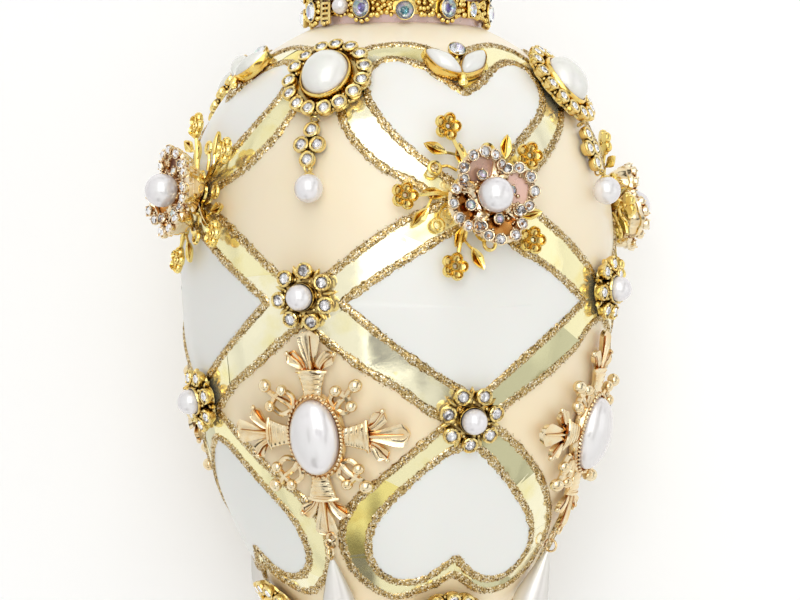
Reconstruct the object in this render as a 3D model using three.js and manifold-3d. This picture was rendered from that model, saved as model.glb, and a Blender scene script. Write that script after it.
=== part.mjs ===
import * as THREE from 'three';
import { mergeVertices } from 'three/addons/utils/BufferGeometryUtils.js';
import Module from 'manifold-3d';

// A lying egg ornament: a painted egg with a jewelled collar, pearl medallions, rose brooches,
// stone clusters, lily crosses and drops, four of each round the egg.
// Everything is built in the egg's own frame: +Z runs up its axis to the collar, the widest ring
// is at height 0, and azimuth 0 faces -Y. The last group lays the egg on its jewels.

const wasm = await Module();
wasm.setup();

const EGG_RADIUS = 50;
const EGG_BELOW = 92.5;
const EGG_ABOVE = 57.8;
const CURVE_BELOW = 1.95;
const CURVE_ABOVE = 2.44;
const SHOULDER_HEIGHT = 54;
const NECK_RADIUS = 19.4;
const NECK_TOP = 63.4;
const DOME_TOP = 67.4;
const COLLAR_INNER = 19.8;
const COLLAR_OUTER = 21.4;
const COLLAR_LOW = 56;
const COLLAR_HIGH = 64;
const GAP = 0.35;

const HEART_AXIS = 21;
const DIAMOND_AXIS = -24;

const REST_TURN = 1.4;
const REST_TIP = 10;
const FLOOR_DEPTH = 54.52;
const BOX_SHIFT_X = -2.44;
const BOX_SHIFT_Y = 11.88;

const DEGREE = Math.PI / 180;

// Each row of jewels: the height on the egg, and by how many degrees and millimetres each of
// the four, set by hand, misses its even place.
const ROWS = {
  medallion: { axis: DIAMOND_AXIS, height: 39.2, sides: 'diamond', shift: [[2, 0], [-1, 0], [0, 0], [0, 0]] },
  drop: { axis: DIAMOND_AXIS, height: 26, sides: 'diamond', shift: [[2, 0], [-3, 0], [0, 0], [0, 0]] },
  waist: { axis: DIAMOND_AXIS, height: -6, sides: 'diamond', shift: [[1.3, -0.6], [-0.3, 0.6], [0, 0], [0, 0]] },
  lily: { axis: DIAMOND_AXIS, height: -36.5, sides: 'diamond', shift: [[2.4, 0.2], [-0.7, -0.8], [0, 0], [0, 0]] },
  teardrop: { axis: DIAMOND_AXIS, height: -61, sides: 'diamond', shift: [[1.8, 0], [-0.7, -0.8], [0, 0], [0, 0]] },
  twin: { axis: HEART_AXIS, height: 42, sides: 'heart', shift: [[-0.7, 0], [0, 0], [0, 0], [3.4, 0.6]] },
  rose: { axis: HEART_AXIS, height: 13.6, sides: 'heart', shift: [[-0.6, 0], [-4, -1.4], [0, 0], [7, 1.2]] },
  low: { axis: HEART_AXIS, height: -31.2, sides: 'heart', shift: [[-2.2, -1.2], [0, 0], [0, 0], [4.5, 1.2]] },
  base: { axis: HEART_AXIS, height: -79, sides: 'heart', shift: [[0.4, 0], [0, 0], [0, 0], [2, 0]] },
};
const SIDES = {
  diamond: ['front_left', 'front_right', 'back_right', 'back_left'],
  heart: ['front', 'right', 'back', 'left'],
};

const FINISH = {
  enamel: { color: 0xf6e6c8, roughness: 0.25, metalness: 0 },
  blush: { color: 0xd8b8b0, roughness: 0.3, metalness: 0.1 },
  gold: { color: 0xd9ad55, roughness: 0.25, metalness: 1 },
  rose_gold: { color: 0xe0b98a, roughness: 0.3, metalness: 1 },
  pearl: { color: 0xf2f0ec, roughness: 0.2, metalness: 0 },
};

function eggRadius(height) {
  const reach = height < 0 ? EGG_BELOW : EGG_ABOVE;
  const curve = height < 0 ? CURVE_BELOW : CURVE_ABOVE;
  return EGG_RADIUS * Math.sqrt(Math.max(0, 1 - Math.abs(height / reach) ** curve));
}

function eggSlope(height) {
  return (eggRadius(height + 0.05) - eggRadius(height - 0.05)) / 0.1;
}

// The tangent frame at a spot on the egg: east, north towards the collar, and straight out.
function spot(azimuth, height) {
  const a = azimuth * DEGREE;
  const radius = eggRadius(height);
  const east = new THREE.Vector3(Math.cos(a), Math.sin(a), 0);
  const out = new THREE.Vector3(Math.sin(a), -Math.cos(a), -eggSlope(height)).normalize();
  const north = new THREE.Vector3().crossVectors(out, east);
  const origin = new THREE.Vector3(radius * Math.sin(a), -radius * Math.cos(a), height);
  return new THREE.Matrix4().makeBasis(east, north, out).setPosition(origin);
}

// The height reached by walking a given length along the meridian.
function walk(height, length) {
  const steps = 40;
  let reached = height;
  for (let i = 0; i < steps; i += 1) {
    reached += length / steps / Math.hypot(1, eggSlope(reached));
  }
  return reached;
}

// How far the egg has dropped away below the tangent plane at a point of a plate.
function sag(frame, x, y) {
  const out = new THREE.Vector3(0, 0, -1).transformDirection(frame);
  const point = new THREE.Vector3(x, y, 0).applyMatrix4(frame);
  let depth = 0;
  for (let i = 0; i < 30; i += 1) {
    const p = point.clone().addScaledVector(out, depth);
    depth += (Math.hypot(p.x, p.y) - eggRadius(p.z)) * 0.8;
  }
  return depth;
}

function bare(geometry) {
  const copy = geometry.index ? geometry.clone() : geometry;
  for (const name of Object.keys(copy.attributes)) {
    if (name !== 'position') copy.deleteAttribute(name);
  }
  return mergeVertices(copy, 1e-4);
}

function solid(geometry) {
  const clean = bare(geometry);
  return new wasm.Manifold(new wasm.Mesh({
    numProp: 3,
    vertProperties: new Float32Array(clean.attributes.position.array),
    triVerts: new Uint32Array(clean.index.array),
  }));
}

function shell(body) {
  const mesh = body.getMesh();
  const geometry = new THREE.BufferGeometry();
  geometry.setAttribute('position', new THREE.BufferAttribute(new Float32Array(mesh.vertProperties), 3));
  geometry.setIndex(new THREE.BufferAttribute(new Uint32Array(mesh.triVerts), 1));
  return geometry;
}

function join(geometries) {
  return shell(geometries.map(solid).reduce((whole, next) => whole.add(next)));
}

// A closed form of rings round the out axis: each ring is [share of the outline, height], and the
// last one may add the height of its crown.
function form(segments, outline, rings) {
  const points = [0, 0, rings[0][1]];
  for (const [share, height] of rings) {
    for (let i = 0; i < segments; i += 1) {
      const angle = 2 * Math.PI * i / segments;
      const reach = outline(angle) * share;
      points.push(reach * Math.cos(angle), reach * Math.sin(angle), height);
    }
  }
  points.push(0, 0, rings[rings.length - 1][2] ?? rings[rings.length - 1][1]);
  const last = points.length / 3 - 1;
  const faces = [];
  for (let i = 0; i < segments; i += 1) {
    const j = (i + 1) % segments;
    faces.push(0, 1 + j, 1 + i);
    for (let k = 0; k < rings.length - 1; k += 1) {
      const low = 1 + k * segments;
      const high = low + segments;
      faces.push(low + i, low + j, high + j, low + i, high + j, high + i);
    }
    const top = 1 + (rings.length - 1) * segments;
    faces.push(last, top + i, top + j);
  }
  const geometry = new THREE.BufferGeometry();
  geometry.setAttribute('position', new THREE.BufferAttribute(new Float32Array(points), 3));
  geometry.setIndex(faces);
  return geometry;
}

function round(radius) {
  return () => radius;
}

function oval(halfWidth, halfHeight) {
  return (angle) => 1 / Math.hypot(Math.cos(angle) / halfWidth, Math.sin(angle) / halfHeight);
}

// A pointed oval between two arcs, its long axis along X.
function pointedOval(halfLength, halfWidth) {
  return (angle) => {
    const along = Math.abs(Math.cos(angle)) / halfLength;
    const across = Math.abs(Math.sin(angle)) / halfWidth;
    return 1 / (along ** 1.25 + across ** 1.25) ** 0.8;
  };
}

// A ring of round lobes, such as cups or petals.
function lobes(count, reach, depth) {
  return (angle) => reach - depth * (1 - Math.abs(Math.cos(count * angle / 2)));
}

function plate(outline, low, high) {
  const shape = new THREE.Shape(outline.map(([x, y]) => new THREE.Vector2(x, y)));
  const geometry = new THREE.ExtrudeGeometry(shape, { depth: high - low, bevelEnabled: false });
  return geometry.translate(0, 0, low);
}

// A flat bar along the meridian, from one height to another.
function bar(halfWidth, from, to, low, high) {
  return plate([[-halfWidth, from], [halfWidth, from], [halfWidth, to], [-halfWidth, to]], low, high);
}

function lathe(profile, segments) {
  return new THREE.LatheGeometry(profile.map(([r, z]) => new THREE.Vector2(r, z)), segments);
}

function ball(radius, segments, rings) {
  return new THREE.SphereGeometry(radius, segments, rings).rotateX(Math.PI / 2);
}

// Moves a flat-laid form onto the egg, dropping each point by a share of the egg's own curve.
function lay(geometry, frame, bend = 0) {
  const copy = bare(geometry);
  const position = copy.attributes.position;
  for (let i = 0; i < position.count; i += 1) {
    const point = new THREE.Vector3().fromBufferAttribute(position, i);
    const drop = bend ? bend * sag(frame, point.x, point.y) : 0;
    point.z += GAP - drop;
    point.applyMatrix4(frame);
    position.setXYZ(i, point.x, point.y, point.z);
  }
  return copy;
}

function turned(geometry, angle, x = 0, y = 0, z = 0) {
  return geometry.rotateZ(angle * DEGREE).translate(x, y, z);
}

const EGG_SEGMENTS = 30;
const RING_SEGMENTS = 20;
const EGG_STEPS_BELOW = 9;
const EGG_STEPS_ABOVE = 6;

function egg() {
  const profile = [[0, -EGG_BELOW]];
  for (let i = EGG_STEPS_BELOW - 1; i > 0; i -= 1) {
    const height = -EGG_BELOW * Math.sin(i / EGG_STEPS_BELOW * Math.PI / 2);
    profile.push([eggRadius(height), height]);
  }
  for (let i = 0; i <= EGG_STEPS_ABOVE; i += 1) {
    const height = SHOULDER_HEIGHT * Math.sin(i / EGG_STEPS_ABOVE * Math.PI / 2);
    profile.push([eggRadius(height), height]);
  }
  profile.push([0, SHOULDER_HEIGHT]);
  return lathe(profile, EGG_SEGMENTS).rotateX(Math.PI / 2);
}

// The neck closes the collar with a low dome.
function neck() {
  const profile = [[0, SHOULDER_HEIGHT + GAP], [NECK_RADIUS, SHOULDER_HEIGHT + GAP], [NECK_RADIUS, NECK_TOP],
    [NECK_RADIUS * 0.92, NECK_TOP + 1.2], [NECK_RADIUS * 0.55, DOME_TOP - 0.8], [0, DOME_TOP]];
  return lathe(profile, RING_SEGMENTS).rotateX(Math.PI / 2);
}

// The collar band carries a rail along each edge.
function collar() {
  const rail = 0.7;
  const rim = COLLAR_OUTER + 0.5;
  const profile = [[COLLAR_INNER, COLLAR_LOW], [rim, COLLAR_LOW], [rim, COLLAR_LOW + rail],
    [COLLAR_OUTER, COLLAR_LOW + 2 * rail], [COLLAR_OUTER, COLLAR_HIGH - 2 * rail],
    [rim, COLLAR_HIGH - rail], [rim, COLLAR_HIGH], [COLLAR_INNER, COLLAR_HIGH], [COLLAR_INNER, COLLAR_LOW]];
  return lathe(profile, RING_SEGMENTS).rotateX(Math.PI / 2);
}

const MEDALLION_CUPS = 15;
const MEDALLION_REACH = 10.2;
const MEDALLION_STRETCH = 1.03;
const CABOCHON_WIDTH = 12.2;
const CABOCHON_LENGTH = 13.6;

function medallion() {
  const cups = lobes(MEDALLION_CUPS, MEDALLION_REACH, 0.9);
  return form(2 * MEDALLION_CUPS, cups, [[0.9, 0], [1, 2.4]])
    .scale(2 - MEDALLION_STRETCH, MEDALLION_STRETCH, 1);
}

function cabochon() {
  const outline = oval(CABOCHON_WIDTH / 2, CABOCHON_LENGTH / 2);
  return form(9, outline, [[1, 2.75], [0.96, 4.3], [0.66, 6.6, 7.3]]);
}

// The drop under a medallion: a link, four cupped stones and a round pearl, all following the egg.
const DROP_CUPS = [[0, 2.9], [-1.9, -0.5], [1.9, -0.5], [0, -3.9]];
const DROP_CUP = 1.5;
const DROP_WEB = [[0, 3.4], [-2.2, -0.5], [0, -4.4], [2.2, -0.5]];
const DROP_PEARL = 3.1;
const DROP_PEARL_AWAY = 10.6;

function drop(azimuth, height) {
  const frame = spot(azimuth, height);
  const parts = DROP_CUPS.map(([x, y]) => {
    return lay(form(5, round(DROP_CUP), [[0.8, 0.2], [1, 2.1]]).translate(x, y, 0), frame, 1);
  });
  parts.push(lay(plate(DROP_WEB, 0.4, 1.2), frame, 1));
  parts.push(lay(bar(0.5, 3.6, 5.3, 0.5, 1.3), frame, 1));
  parts.push(lay(bar(0.4, -8.4, -4.6, 0.8, 2), frame, 1));
  const under = spot(azimuth, walk(height, -DROP_PEARL_AWAY));
  parts.push(lay(ball(DROP_PEARL, 8, 5).translate(0, 0, DROP_PEARL), under));
  return join(parts);
}

// Two pointed pearls in bezels lean apart from one joint, with a round stone between their tips.
const LEAF_LENGTH = 10.6;
const LEAF_WIDTH = 5.6;
const LEAF_LEAN = 44;
const LEAF_AWAY = 3.5;
const TWIN_STONE = 2.2;

function twinLeaf() {
  const parts = [-1, 1].map((side) => {
    const leaf = form(8, pointedOval(LEAF_LENGTH / 2, LEAF_WIDTH / 2), [[1, 0], [1, 2.4, 3.9]]);
    return turned(leaf, 90 - side * LEAF_LEAN, side * LEAF_AWAY, 0.5);
  });
  parts.push(form(6, round(TWIN_STONE), [[0.9, 0.2], [1, 2.8]]).translate(0.8, 5.5, 0));
  parts.push(bar(0.9, -4.6, 4, 0, 1.6));
  return join(parts);
}

// One branch of the sprig, from its root: a five-petal flower on a stem, a side leaf and a loop.
const SPRIG_BRANCH = [[4.6, -0.9], [13.8, -1.5], [16.3, -2.9], [18.9, -1.6], [18.9, 1.6], [16.3, 2.9],
  [13.9, 1.2], [15.8, 7], [9.8, 3.6], [9.3, 8.1], [6.6, 6], [4.3, 2]];
const SPRIG_TURN = 36;
const SPRIG_OFF = { east: -2, north: 1 };

function sprig() {
  const outline = [];
  for (let k = 0; k < 5; k += 1) {
    const a = (SPRIG_TURN + 72 * k) * DEGREE;
    for (const [x, y] of SPRIG_BRANCH) {
      const east = x * Math.cos(a) - y * Math.sin(a) + SPRIG_OFF.east;
      const north = x * Math.sin(a) + y * Math.cos(a) + SPRIG_OFF.north;
      outline.push([east, north]);
    }
  }
  return plate(outline, 0, 1.4);
}

// The rose: four cupped petals on a waisted foot.
const PETALS = 4;
const PETAL_TURN = 19;
const ROSE_REACH = 10.4;
const ROSE_FOOT = 1.8;
const ROSE_PEARL = 3.75;
const ROSE_PEARL_OUT = 9.9;

function rose() {
  const petals = lobes(PETALS, ROSE_REACH, 3.2);
  const rings = [[0.42, ROSE_FOOT], [0.6, 3], [1, 6.6], [0.94, 7.4], [0.5, 5.4]];
  return turned(form(16, petals, rings), PETAL_TURN);
}

function rosePearl() {
  return ball(ROSE_PEARL, 9, 6).translate(0, 0, ROSE_PEARL_OUT - GAP);
}

// Seven cupped stones round a small pearl in a bezel.
const CLUSTER_CUPS = 7;
const CLUSTER_REACH = 6.8;
const CLUSTER_PEARL = 2.8;
const CLUSTER_PEARL_OUT = 4.3;

function cluster(turn) {
  const cups = lobes(CLUSTER_CUPS, CLUSTER_REACH, 1.3);
  const disc = turned(form(2 * CLUSTER_CUPS, cups, [[0.86, 0], [1, 2.6]]), turn);
  return join([disc, ball(CLUSTER_PEARL, 7, 5).translate(0, 0, CLUSTER_PEARL_OUT - GAP)]);
}

// The lily cross: an oval bezel with four lily-headed arms and a three-ball spray between each.
const LILY_PEARL_WIDTH = 11.7;
const LILY_PEARL_LENGTH = 16.6;
const LILY_BEZEL = 1.05;
const LILY_BEND = 0.68;
const LILY_ARM = [[0, -2.2], [4.9, -3.4], [5.4, -1.8], [8.6, -5.9], [10.2, -2.4], [14, 0], [10.2, 2.4],
  [8.6, 5.9], [5.4, 1.8], [4.9, 3.4], [0, 2.2]];
const LILY_SPRAY = [[-3.6, -0.9], [1.6, -3.4], [6, -1.4], [6, 1.4], [1.6, 3.4], [-3.6, 0.9]];
const LILY_SPRAY_AWAY = 10.3;

function lily() {
  const wide = LILY_PEARL_WIDTH / 2 + LILY_BEZEL;
  const tall = LILY_PEARL_LENGTH / 2 + LILY_BEZEL;
  const parts = [form(12, oval(wide, tall), [[1, 0], [1, 1.9]])];
  for (let k = 0; k < 4; k += 1) {
    const upright = k % 2 === 1;
    const start = (upright ? tall : wide) - 0.7;
    const arm = plate(LILY_ARM, 0.3, 1.6).translate(start, 0, 0);
    parts.push(turned(arm, 90 * k));
    const spray = plate(LILY_SPRAY, 0.4, 2.2).translate(LILY_SPRAY_AWAY, 0, 0);
    parts.push(turned(spray, 45 + 90 * k));
  }
  return join(parts);
}

function lilyPearl() {
  const outline = oval(LILY_PEARL_WIDTH / 2, LILY_PEARL_LENGTH / 2);
  return form(10, outline, [[1, 2.25], [0.95, 3.8], [0.62, 5.6, 6.2]]);
}

// A jump ring with a long pearl drop, which rests its round end on the egg.
const TEARDROP_RADIUS = 3.9;
const TEARDROP_TIP = 12.4;
const TEARDROP_LEAN = 15.5;
const TEARDROP_PROFILE = [[0, -4.6], [3.3, -3.2], [TEARDROP_RADIUS, 0], [2.9, 4.4], [1.6, 8.8],
  [0.6, TEARDROP_TIP - 0.3], [0, TEARDROP_TIP]];
const JUMP_RING = 1.5;

function teardrop(azimuth, height) {
  const bead = lathe(TEARDROP_PROFILE, 6);
  bead.rotateX(-TEARDROP_LEAN * DEGREE).translate(0, 0, TEARDROP_RADIUS + 0.1);
  const ring = new THREE.TorusGeometry(JUMP_RING, 0.4, 3, 7).rotateY(Math.PI / 2).translate(0, -1.2, 1.6);
  const under = spot(azimuth, walk(height, -2 - TEARDROP_TIP));
  return join([lay(ring, spot(azimuth, height)), lay(bead, under)]);
}

const ornament = new THREE.Group();

function add(name, geometry, finish) {
  const mesh = new THREE.Mesh(geometry, new THREE.MeshStandardMaterial(FINISH[finish]));
  mesh.name = name;
  ornament.add(mesh);
}

function addRow(row, name, finish, build) {
  const { axis, height, sides, shift } = ROWS[row];
  SIDES[sides].forEach((side, k) => {
    const azimuth = axis + 90 * k + shift[k][0];
    add(`${name}_${side}`, build(azimuth, height + shift[k][1], side), finish);
  });
}

function placed(make) {
  return (azimuth, height) => lay(make(), spot(azimuth, height));
}

add('egg', egg(), 'enamel');
add('neck', neck(), 'blush');
add('collar', collar(), 'gold');
addRow('medallion', 'medallion', 'gold', placed(medallion));
addRow('medallion', 'medallion_pearl', 'pearl', placed(cabochon));
addRow('drop', 'drop', 'pearl', drop);
addRow('twin', 'twin_leaf', 'gold', placed(twinLeaf));
addRow('rose', 'sprig', 'gold', placed(sprig));
addRow('rose', 'rose', 'rose_gold', placed(rose));
addRow('rose', 'rose_pearl', 'pearl', placed(rosePearl));
addRow('waist', 'waist_cluster', 'gold', placed(() => cluster(85)));
addRow('low', 'low_cluster', 'gold', placed(() => cluster(64)));
addRow('lily', 'lily_cross', 'rose_gold', (azimuth, height) => lay(lily(), spot(azimuth, height), LILY_BEND));
addRow('lily', 'lily_pearl', 'pearl', placed(lilyPearl));
addRow('teardrop', 'teardrop', 'pearl', teardrop);
addRow('base', 'base_medallion', 'gold', placed(medallion));
addRow('base', 'base_pearl', 'pearl', placed(cabochon));

// The egg lies on the rose pearl and low cluster behind it and on one lily pearl. What would
// reach below the floor is ground off flat.
ornament.rotation.z = REST_TURN * DEGREE;
const lying = new THREE.Group();
lying.add(ornament);
lying.rotation.x = -(90 - REST_TIP) * DEGREE;
lying.position.set(BOX_SHIFT_X, BOX_SHIFT_Y, FLOOR_DEPTH);
lying.updateMatrixWorld(true);

const GROUND_DEPTH = 20;

for (const mesh of ornament.children) {
  const box = new THREE.Box3().setFromObject(mesh, true);
  if (box.min.z < 0) {
    const ground = new THREE.BoxGeometry(400, 400, GROUND_DEPTH).translate(0, 0, -GROUND_DEPTH / 2);
    const toMesh = mesh.matrixWorld.clone().invert();
    mesh.geometry = shell(solid(mesh.geometry).subtract(solid(ground.applyMatrix4(toMesh))));
  }
}

export default lying;
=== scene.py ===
import math
import random

import bpy
import numpy as np
from mathutils import Matrix, Vector


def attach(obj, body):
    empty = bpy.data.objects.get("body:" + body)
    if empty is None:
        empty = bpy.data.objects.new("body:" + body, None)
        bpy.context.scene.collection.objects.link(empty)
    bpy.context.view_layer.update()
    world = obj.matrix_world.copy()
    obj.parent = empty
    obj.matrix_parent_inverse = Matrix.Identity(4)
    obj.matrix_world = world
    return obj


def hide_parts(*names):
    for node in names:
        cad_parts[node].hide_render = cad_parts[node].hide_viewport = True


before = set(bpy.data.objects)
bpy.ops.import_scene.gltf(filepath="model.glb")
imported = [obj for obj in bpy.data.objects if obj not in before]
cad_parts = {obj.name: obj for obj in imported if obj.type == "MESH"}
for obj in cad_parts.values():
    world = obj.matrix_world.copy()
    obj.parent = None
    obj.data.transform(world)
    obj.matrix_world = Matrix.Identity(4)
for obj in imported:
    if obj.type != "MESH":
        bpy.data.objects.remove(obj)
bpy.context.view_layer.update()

# A jewelled egg that lies on its side. Everything is made in millimetres in the egg's own frame:
# +Z runs up its axis to the collar, the widest ring is at height 0, and azimuth 0 faces -Y.
# One rigid move, ROW, then lays it down in the row frame, in metres.
EGG_RADIUS = 50
EGG_BELOW = 92.5
EGG_ABOVE = 57.8
CURVE_BELOW = 1.95
CURVE_ABOVE = 2.44
SHOULDER_HEIGHT = 54
NECK_RADIUS = 19.4
NECK_TOP = 63.4
DOME_TOP = 67.4
GAP = 0.35

HEART_AXIS = 21
DIAMOND_AXIS = -24
QUARTERS = (0, 90, 180, 270)

REST_TURN = 1.4
REST_TIP = 10
REST_PLACE = (-2.44, 11.88, 54.52)
MM = 0.001
ROW = np.array(
    Matrix.Scale(MM, 4)
    @ Matrix.Translation(REST_PLACE)
    @ Matrix.Rotation(math.radians(REST_TIP - 90), 4, "X")
    @ Matrix.Rotation(math.radians(REST_TURN), 4, "Z")
)

# Each row of jewels: its axis, its height, and by how many degrees and millimetres each of the
# four misses its even place.
ROWS = {
    "medallion": (DIAMOND_AXIS, 39.2, [(2, 0), (-1, 0), (0, 0), (0, 0)]),
    "drop": (DIAMOND_AXIS, 26, [(2, 0), (-3, 0), (0, 0), (0, 0)]),
    "waist": (DIAMOND_AXIS, -6, [(1.3, -0.6), (-0.3, 0.6), (0, 0), (0, 0)]),
    "lily": (DIAMOND_AXIS, -36.5, [(2.4, 0.2), (-0.7, -0.8), (0, 0), (0, 0)]),
    "teardrop": (DIAMOND_AXIS, -61, [(1.8, 0), (-0.7, -0.8), (0, 0), (0, 0)]),
    "twin": (HEART_AXIS, 42, [(-0.7, 0), (0, 0), (0, 0), (3.4, 0.6)]),
    "rose": (HEART_AXIS, 13.6, [(-0.6, 0), (-4, -1.4), (0, 0), (7, 1.2)]),
    "low": (HEART_AXIS, -31.2, [(-2.2, -1.2), (0, 0), (0, 0), (4.5, 1.2)]),
    "base": (HEART_AXIS, -79, [(0.4, 0), (0, 0), (0, 0), (2, 0)]),
}
SIDES = {
    DIAMOND_AXIS: ("front_left", "front_right", "back_right", "back_left"),
    HEART_AXIS: ("front", "right", "back", "left"),
}


# The egg's surface

def egg_radius(height):
    """A superellipse above the widest ring and a longer one below it."""
    height = np.asarray(height, float)
    reach = np.where(height < 0, EGG_BELOW, EGG_ABOVE)
    curve = np.where(height < 0, CURVE_BELOW, CURVE_ABOVE)
    return EGG_RADIUS * np.sqrt(np.maximum(0, 1 - np.abs(height / reach) ** curve))


def egg_slope(height):
    step = 0.05
    return (egg_radius(height + step) - egg_radius(height - step)) / (2 * step)


def egg_normal(azimuth, height):
    a = np.radians(azimuth)
    out = np.stack([np.sin(a), -np.cos(a), -egg_slope(height) + 0 * a], axis=-1)
    return out / np.linalg.norm(out, axis=-1, keepdims=True)


def on_egg(azimuth, height, lift=0.0):
    """Points of the egg's surface, lifted straight off it."""
    azimuth, height = np.broadcast_arrays(np.asarray(azimuth, float), np.asarray(height, float))
    a = np.radians(azimuth)
    radius = egg_radius(height)
    base = np.stack([radius * np.sin(a), -radius * np.cos(a), height], axis=-1)
    return base + egg_normal(azimuth, height) * np.asarray(lift)[..., None]


def spot(azimuth, height):
    """The tangent frame at a spot on the egg: east, north towards the collar, and straight out."""
    a = math.radians(azimuth)
    east = np.array([math.cos(a), math.sin(a), 0])
    out = egg_normal(azimuth, height)
    north = np.cross(out, east)
    place = np.eye(4)
    place[:3, 0], place[:3, 1], place[:3, 2] = east, north, out
    place[:3, 3] = on_egg(azimuth, height)
    return place


def walk(height, length):
    """The height reached by walking a given length along the meridian."""
    steps = 40
    reached = height
    for _ in range(steps):
        reached += length / steps / math.hypot(1, float(egg_slope(reached)))
    return reached


def sag(place, points):
    """How far the egg has dropped away below the tangent plane under each point."""
    start = place[:3, 3] + points[:, :1] * place[:3, 0] + points[:, 1:2] * place[:3, 1]
    depth = np.zeros(len(points))
    rounds, share = 30, 0.8
    for _ in range(rounds):
        p = start - place[:3, 2] * depth[:, None]
        depth += (np.hypot(p[:, 0], p[:, 1]) - egg_radius(p[:, 2])) * share
    return depth


# Shapes

class Shape:
    """Points in millimetres and the faces between them."""

    def __init__(self, points, faces, smooth=True):
        self.points = np.array(points, float).reshape(-1, 3)
        self.faces = faces
        self.smooth = smooth

    def place(self, matrix):
        matrix = np.array(matrix)
        return Shape(self.points @ matrix[:3, :3].T + matrix[:3, 3], self.faces, self.smooth)

    def move(self, x=0.0, y=0.0, z=0.0):
        return Shape(self.points + [x, y, z], self.faces, self.smooth)

    def turn(self, degrees, axis="Z"):
        return self.place(Matrix.Rotation(math.radians(degrees), 4, axis))

    def stretch(self, x=1.0, y=1.0, z=1.0):
        return Shape(self.points * [x, y, z], self.faces, self.smooth)

    def lay(self, place, bend=0.0):
        """Onto the egg, dropping each point by a share of the egg's own curve."""
        points = self.points + [0, 0, GAP]
        if bend:
            points[:, 2] -= bend * sag(place, self.points)
        return Shape(points, self.faces, self.smooth).place(place)


def loft(rings, low=None, high=None, around=True):
    """A skin over rings of equal count that run anticlockwise and rise, closed by end points."""
    rings = np.array(rings, float)
    levels, count = rings.shape[:2]
    points = rings.reshape(-1, 3)
    faces = []
    for level in range(levels - 1):
        start = level * count
        for i in range(count if around else count - 1):
            j = (i + 1) % count
            faces.append((start + i, start + j, start + count + j, start + count + i))
    for end, start, turn in ((low, 0, -1), (high, (levels - 1) * count, 1)):
        if end is None:
            continue
        middle = len(points)
        points = np.vstack([points, end])
        for i in range(count):
            pair = (start + i, start + (i + 1) % count)
            faces.append((middle, *pair[::turn]))
    return Shape(points, faces)


def even_angles(count, turn=0.0):
    return (np.arange(count) + turn) * 2 * math.pi / count


def ring_of(reach, angles, height):
    """Points round the out axis, so far from it and so high."""
    return np.stack([reach * np.cos(angles), reach * np.sin(angles), height + 0 * angles], axis=-1)


def at_angle(angle, across, tall=None):
    """The point of a circle or an oval at an angle."""
    return across * math.cos(angle), (across if tall is None else tall) * math.sin(angle)


def dish(segments, outline, rings, crown=None):
    """A closed form of rings round the out axis: each ring is [share of the outline, height]."""
    angles = even_angles(segments)
    reach = outline(angles)
    made = [ring_of(share * reach, angles, height) for share, height in rings]
    top = rings[-1][1] if crown is None else crown
    return loft(made, (0, 0, rings[0][1]), (0, 0, top))


def round_outline(radius):
    return lambda angles: np.full(np.shape(angles), float(radius))


def oval(half_width, half_height):
    return lambda angles: 1 / np.hypot(np.cos(angles) / half_width, np.sin(angles) / half_height)


def pointed_oval(half_length, half_width, power=1.25):
    def reach(angles):
        along = np.abs(np.cos(angles)) / half_length
        across = np.abs(np.sin(angles)) / half_width
        return 1 / (along ** power + across ** power) ** (1 / power)
    return reach


def lobes(count, reach, depth, sharp=1.0):
    return lambda angles: reach - depth * (1 - np.abs(np.cos(count * angles / 2)) ** sharp)


def ball(radius, segments, levels):
    tips = np.linspace(-math.pi / 2, math.pi / 2, levels + 1)[1:-1]
    rings = [[math.cos(t) * radius, math.sin(t) * radius] for t in tips]
    form = dish(segments, round_outline(1), rings, radius)
    form.points[-2] = (0, 0, -radius)
    return form


def tube(path, radius, sides, closed=False):
    """A round wire along a path, its ends closed."""
    path = np.array(path, float)
    radii = np.broadcast_to(np.asarray(radius, float), len(path))
    if closed:
        along = np.roll(path, -1, 0) - np.roll(path, 1, 0)
    else:
        along = np.gradient(path, axis=0)
    along /= np.linalg.norm(along, axis=1, keepdims=True)
    steep = np.abs(along[:, 2:]) > 0.9
    side = np.cross(along, np.where(steep, [1.0, 0, 0], [0, 0, 1.0]))
    side /= np.linalg.norm(side, axis=1, keepdims=True)
    up = np.cross(along, side)
    angles = even_angles(sides)[None, :, None]
    rings = path[:, None] + radii[:, None, None] * (
        np.cos(angles) * side[:, None] + np.sin(angles) * up[:, None])
    if closed:
        return loft(np.concatenate([rings, rings[:1]]))
    return loft(rings, path[0], path[-1])


def hoop(radius, wire, segments, sides):
    return tube(ring_of(radius, even_angles(segments), 0), wire, sides, closed=True)


STRAP_ACROSS = np.linspace(1, -1, 9)


def strap(path, halves, rim, thick):
    """A flat cast leaf or bar along a path, hollowed between two raised edges."""
    path = np.array(path, float)
    halves = np.broadcast_to(np.asarray(halves, float), len(path))
    along = np.gradient(path, axis=0)
    left = np.stack([-along[:, 1], along[:, 0], 0 * along[:, 0]], axis=-1)
    left /= np.linalg.norm(left, axis=1, keepdims=True)
    rings = []
    for point, half, across in zip(path, halves, left):
        lift = rim * min(1.0, half)
        top = [point + across * half * t + [0, 0, lift * abs(t) ** 3 - lift * 0.25]
               for t in STRAP_ACROSS]
        bottom = [point + across * half * t - [0, 0, thick] for t in (-0.85, 0, 0.85)]
        rings.append(top + bottom)
    return loft(rings, np.mean(rings[0], axis=0), np.mean(rings[-1], axis=0))


def curve_through(points, samples):
    """A smooth line through a few points, evenly sampled between each pair."""
    points = np.array(points, float)
    ring = np.vstack([2 * points[0] - points[1], points, 2 * points[-1] - points[-2]])
    made = []
    for a, b, c, d in zip(ring, ring[1:], ring[2:], ring[3:]):
        for t in np.arange(samples) / samples:
            made.append(0.5 * (2 * b + (c - a) * t + (2 * a - 5 * b + 4 * c - d) * t ** 2
                               + (3 * b - a - 3 * c + d) * t ** 3))
    return np.array(made + [points[-1]])


# Stones and their cups

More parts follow.
